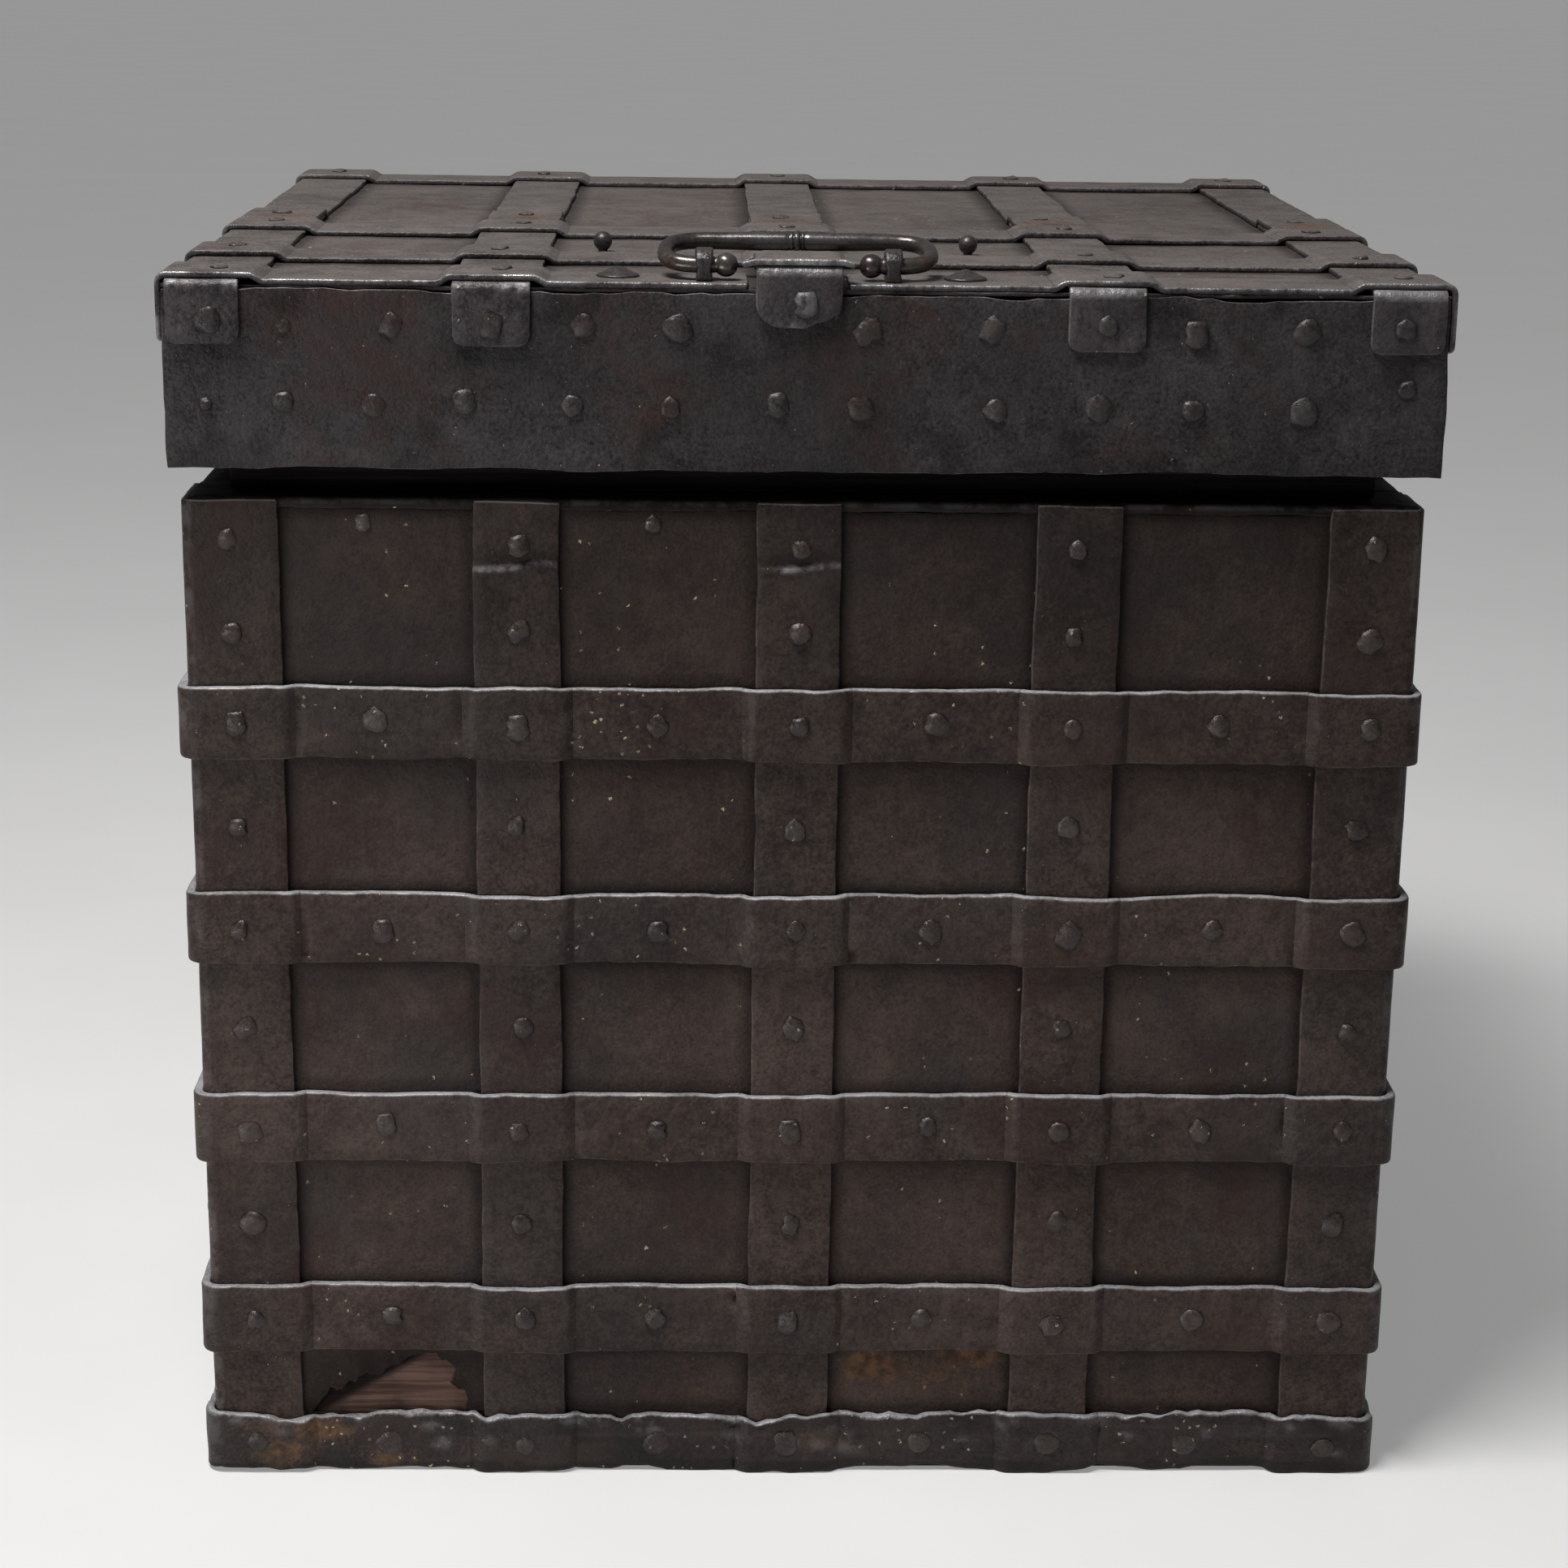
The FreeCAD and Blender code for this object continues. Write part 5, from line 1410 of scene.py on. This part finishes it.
posts = merged_copy("bail_posts")
post_low, post_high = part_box("bail_posts")
ease_arrises(posts, post_ease, 3)
for number in range(1, post_slices):
    level = post_low.z + (post_high.z - post_low.z) * number / post_slices
    bmesh.ops.bisect_plane(posts, geom=posts.verts[:] + posts.edges[:] + posts.faces[:], dist=same_place,
                           plane_co=(0, 0, level), plane_no=(0, 0, 1))
post_middles = [(low.x + high.x) / 2 for low, high in lumps("bail_posts")]
post_rust = posts.verts.layers.float.new("rust")
for vert in posts.verts:
    middle = min(post_middles, key=lambda place: abs(place - vert.co.x))
    up = (vert.co.z - post_low.z) / (post_high.z - post_low.z)
    waist = kept_width(up, *waist_across) - head_taper * max(0.0, up - head_from)
    vert.co.x = middle + (vert.co.x - middle) * waist
    vert.co.y = pivot.y + (vert.co.y - pivot.y) * kept_width(up, *waist_through)
    vert.co += post_uneven * noise.noise(vert.co * 260)
    vert[post_rust] = foot_rust * max(0.0, 1 - up / foot_rust_to) if vert.co.x > pivot.x else 0.0
fit_piece(posts, "bail_posts_forged", post_iron, "lid", "handle_iron", "bail_posts")


# Studs. Two round knobs stand close to the lid behind the handle, and two low pointed domes
# with thin rims lie beside it on the front cross straps.
stud_iron = old_iron("stud_iron", (0.014, 0.0125, 0.0122, 1), (0.04, 0.036, 0.035, 1), 0.3,
                     top_dust_and_sheen=0.1, flecks=0.1, rough=(0.28, 0.44), relief=0.4, shine=0.4)
stud_uneven = 0.0002
stud_foot = 0.001
knob_sides = 20
knob_rings = 13
neck_angle = 1.05
dome_sides = 24
dome_rim = 0.0008
dome_step = 0.0012
# The dome above its rim, as parts of its height and of its width
dome_outline = ((0.4, 0.72), (0.68, 0.46), (0.88, 0.22), (0.97, 0.08), (1.0, 0.0))


def stud(work, profile, middle, foot, sides, seed):
    """Turns one stud up from the sheet and leaves it slightly uneven."""
    shape = spun(profile, (1, 0, 0), sides)
    for vert in shape.verts:
        along, across, out = vert.co
        vert.co = (middle.x + across, middle.y + out, foot + along)
        if along > stud_foot:
            vert.co += Vector((1, 1, 0)) * stud_uneven * noise.noise(Vector((across * 300, out * 300, seed)))
    bmesh.ops.recalc_face_normals(shape, faces=shape.faces[:])
    kind = bpy.data.meshes.new("stud")
    shape.to_mesh(kind)
    shape.free()
    work.from_mesh(kind)
    bpy.data.meshes.remove(kind)


knobs = bmesh.new()
for number, (low, high) in enumerate(lumps("ball_knobs")):
    knob = (high.x - low.x) / 2
    tall = high.z - low.z
    profile = [(0.0, 0.0), (0.0, knob * 0.5), (tall * 0.09, knob * 0.46)]
    for step in range(knob_rings):
        angle = -neck_angle + (math.pi / 2 + neck_angle) * step / knob_rings
        profile.append((tall - knob + knob * math.sin(angle), knob * math.cos(angle)))
    stud(knobs, profile + [(tall, 0.0)], (low + high) / 2, low.z, knob_sides, number)
fit_piece(knobs, "ball_knobs_turned", stud_iron, "lid", "handle_iron", "ball_knobs")
domes = bmesh.new()
for number, (low, high) in enumerate(lumps("dome_bosses")):
    wide = (high.x - low.x) / 2
    tall = high.z - low.z
    profile = [(0.0, 0.0), (0.0, wide), (dome_rim, wide), (dome_step, wide * 0.96)]
    profile += [(tall * up, wide * out) for up, out in dome_outline]
    stud(domes, profile, (low + high) / 2, low.z, dome_sides, 5 + number)
fit_piece(domes, "dome_bosses_raised", stud_iron, "lid", "handle_iron", "dome_bosses")


# Lid rivets. Two uneven rows hold the apron, one rivet holds each folded strap end,
# and flat heads stand where the straps cross on top.
lid_rivet_iron = old_iron("lid_rivet_iron", (0.0095, 0.0078, 0.0075, 1), (0.048, 0.0395, 0.038, 1), 0.5,
                          top_dust_and_sheen=0.8, flecks=0.6, rough=(0.18, 0.36), relief=0.9, shine=0.24, cool=0.15)
apron_face = apron_low.y
# The two rows on the front apron, as places across in millimetres
lower_row = (-290.5, -253.1, -210.1, -166.0, -113.9, -66.5, -14.7, 25.4, 90.7, 140.7, 186.9, 241.3)
upper_row = (-200.8, -108.7, -63.1, 28.1, 88.4, 187.2, 240.7)
lower_level = 0.5695
upper_level = 0.6072
lower_stray = 0.0012
upper_stray = 0.001
plate_stray = 0.0015
top_stray = 0.004
plate_proud = 0.002
centre_reach = 0.01
centre_shift = Vector((0.0035, 0, 0.0005))
centre_size = 1.2
centre_rub = 0.5
apron_height = 0.0032
lower_head = 0.0059
upper_head = 0.0062
corner_head = 0.0056
nail_head = 0.0032
nail_left_of = -280
pin_head = 0.0026
pin_height = 0.0016
lid_chance = random.Random(21)
apron_heads = bmesh.new()
apron_wear = apron_heads.verts.layers.float.new("wear")
apron_heads.verts.layers.float.new("dirt_and_shade")
forward = Vector((0, -1, 0))
for x in lower_row:
    spot = Vector((x / 1000, apron_face, lower_level + lid_chance.uniform(-lower_stray, lower_stray)))
    radius = lower_head if x > nail_left_of else nail_head
    close_rivet(apron_heads, spot, forward, radius, apron_height, lid_chance, round_heads)
for x in upper_row:
    spot = Vector((x / 1000, apron_face, upper_level + lid_chance.uniform(-upper_stray, upper_stray)))
    close_rivet(apron_heads, spot, forward, upper_head, apron_height, lid_chance, square_heads)
corner_spot = Vector((0.2908, apron_face, 0.581))
close_rivet(apron_heads, corner_spot, forward, corner_head, apron_height, lid_chance)
pin_spot = Vector((-0.252, apron_face, 0.6063))
close_rivet(apron_heads, pin_spot, forward, pin_head, pin_height, lid_chance)
for facing in (forward, Vector((1, 0, 0)), Vector((0, 1, 0)), Vector((-1, 0, 0))):
    for foot, radius, height in rivet_places("apron_rivets", facing):
        if facing == forward and foot.y > apron_face - plate_proud:
            continue
        if facing == forward and abs(foot.x - key_x) < centre_reach:
            before = len(apron_heads.verts)
            spot = foot + centre_shift
            close_rivet(apron_heads, spot, facing, radius * centre_size, height, lid_chance, square_heads)
            for vert in apron_heads.verts[before:]:
                vert[apron_wear] = centre_rub * min(1.0, abs(vert.co.y - foot.y) / height)
            continue
        shift = Vector((0, 0, lid_chance.uniform(-plate_stray, plate_stray)))
        close_rivet(apron_heads, foot + shift, facing, radius, height, lid_chance)
fit_piece(apron_heads, "apron_rivet_heads", lid_rivet_iron, "lid", "rivet_iron", "apron_rivets")
rivet_row("lid_top_rivets", "lid_top_rivet_heads", [(0, 0, 1)], "lid", lid_rivet_iron, 22, top_stray)


# Hinges. Two rear straps of the lid run down the back and end in an eye, which turns on a pin
# between the two eyes of a leaf riveted to the box.
tongue_top = 0.5455
tongue_lap = 0.005
hinge_ease = 0.0006
eyes = merged_copy("lid_hinge_straps")
bmesh.ops.bisect_plane(eyes, geom=eyes.verts[:] + eyes.edges[:] + eyes.faces[:], dist=same_place,
                       plane_co=(0, 0, tongue_top), plane_no=(0, 0, 1), clear_outer=True)
bmesh.ops.holes_fill(eyes, edges=[edge for edge in eyes.edges if edge.is_boundary], sides=0)
ease_arrises(eyes, hinge_ease)
fit_lid_strap(eyes, "hinge_eyes", "lid_hinge_straps")
for number, (low, high) in enumerate(lumps("lid_hinge_straps")):
    bar = rear_length(low, high, 180 + number, tongue_top - tongue_lap, None)
    fit_lid_strap(bar, "hinge_strap_%d" % (number + 1), "lid_hinge_straps")
eased_piece("hinge_leaves", "hinge_leaves_eased", strap_iron, "box", "strap_iron", hinge_ease)
eased_piece("hinge_pins", "hinge_pins_eased", rivet_iron, "box", "strap_iron", hinge_ease)


# Lock. A plate under the lid carries a disc that the key turns; its three pins push three bolts,
# which slide in riveted guides. All of it is filed iron.
disc_ease = 0.0005
eased_piece("lock_plate", "lock_plate_filed", lock_iron, "lid", "lock_iron", filed_ease)
eased_piece("bolt_guides", "bolt_guides_filed", lock_iron, "lid", "lock_iron", filed_ease)
eased_piece("key_disc", "key_disc_filed", lock_iron, "key_disc", "lock_iron", disc_ease)
for bolt in ("bolt_left", "bolt_right", "bolt_front"):
    eased_piece(bolt, bolt + "_filed", lock_iron, bolt, "lock_iron", filed_ease)


# Studio. The box stands on a wide pale floor under a soft light above and a weaker one low in front,
# and is seen from the photograph's place.
floor_half = 40
floor_dark = (0.5, 0.495, 0.49, 1)
floor_light = (0.53, 0.525, 0.52, 1)
floor_glow = (1.0, 0.995, 0.985, 1)
floor_glow_strength = 0.24
sky_colour = (0.96, 0.98, 1.0, 1)
sky_strength = 0.13
floor_work = bmesh.new()
bmesh.ops.create_grid(floor_work, x_segments=8, y_segments=8, size=floor_half)
floor_mesh = bpy.data.meshes.new("studio_floor")
floor_work.to_mesh(floor_mesh)
floor_work.free()
floor = bpy.data.objects.new("studio_floor", floor_mesh)
bpy.context.scene.collection.objects.link(floor)
floor_finish, floor_tree, floor_shader = new_finish("pale_floor")
floor_spot = add(floor_tree, "TexCoord", {}).outputs["Object"]
floor_tone = soft_step(floor_tree, cloud(floor_tree, floor_spot, 3, 4), 0.3, 0.7)
floor_colour = blend(floor_tree, floor_tone, floor_dark, floor_light)
floor_tree.links.new(floor_colour, floor_shader.inputs["Base Color"])
floor_shader.inputs["Roughness"].default_value = 0.9
floor_shader.inputs["Specular IOR Level"].default_value = 0.1
seen = add(floor_tree, "LightPath", {}).outputs
seen_ray = sums(floor_tree, "MAXIMUM", seen["Is Camera Ray"], seen["Is Glossy Ray"])
seen_ray = sums(floor_tree, "MAXIMUM", seen_ray, seen["Is Transmission Ray"])
floor_shader.inputs["Emission Color"].default_value = floor_glow
glow = sums(floor_tree, "MULTIPLY", seen_ray, floor_glow_strength)
floor_tree.links.new(glow, floor_shader.inputs["Emission Strength"])
floor_mesh.materials.append(floor_finish)

world = bpy.data.worlds.new("studio")
bpy.context.scene.world = world
world.use_nodes = True
sky = world.node_tree.nodes["Background"]
sky.inputs["Color"].default_value = sky_colour
sky.inputs["Strength"].default_value = sky_strength


def soft_light(name, place, aim, size, power):
    """A square-cornered lamp that looks at a point."""
    lamp = bpy.data.lights.new(name, "AREA")
    lamp.shape = "RECTANGLE"
    lamp.size, lamp.size_y = size
    lamp.energy = power
    holder = bpy.data.objects.new(name, lamp)
    bpy.context.scene.collection.objects.link(holder)
    holder.location = place
    holder.rotation_euler = (Vector(aim) - Vector(place)).to_track_quat("-Z", "Y").to_euler()


soft_light("overhead", place=(-0.6, -0.72, 2.4), aim=(0, -0.2, 0.4), size=(1.0, 0.55), power=68)
soft_light("low_fill", place=(-1.0, -1.3, 0.16), aim=(0, -0.3, 0.12), size=(0.8, 0.25), power=6.0)

camera_place = (-0.0486, -1.8405, 0.8101)
photo_width = 1932
focal_pixels = 3944.1
yaw = math.radians(1.467)
pitch = math.radians(15.585)
roll = math.radians(0.761)
ahead = Vector((math.sin(yaw) * math.cos(pitch), math.cos(yaw) * math.cos(pitch), -math.sin(pitch)))
level_right = Vector((math.cos(yaw), -math.sin(yaw), 0))
level_up = level_right.cross(ahead)
view_right = level_right * math.cos(roll) + level_up * math.sin(roll)
view_up = level_up * math.cos(roll) - level_right * math.sin(roll)
camera_data = bpy.data.cameras.new("photo_view")
camera_data.sensor_fit = "HORIZONTAL"
camera_data.sensor_width = 36
camera_data.lens = camera_data.sensor_width * focal_pixels / photo_width
camera_data.clip_end = 200
camera = bpy.data.objects.new("photo_view", camera_data)
bpy.context.scene.collection.objects.link(camera)
turn = Matrix((view_right, view_up, -ahead)).transposed().to_4x4()
camera.matrix_world = Matrix.Translation(camera_place) @ turn
bpy.context.scene.camera = camera
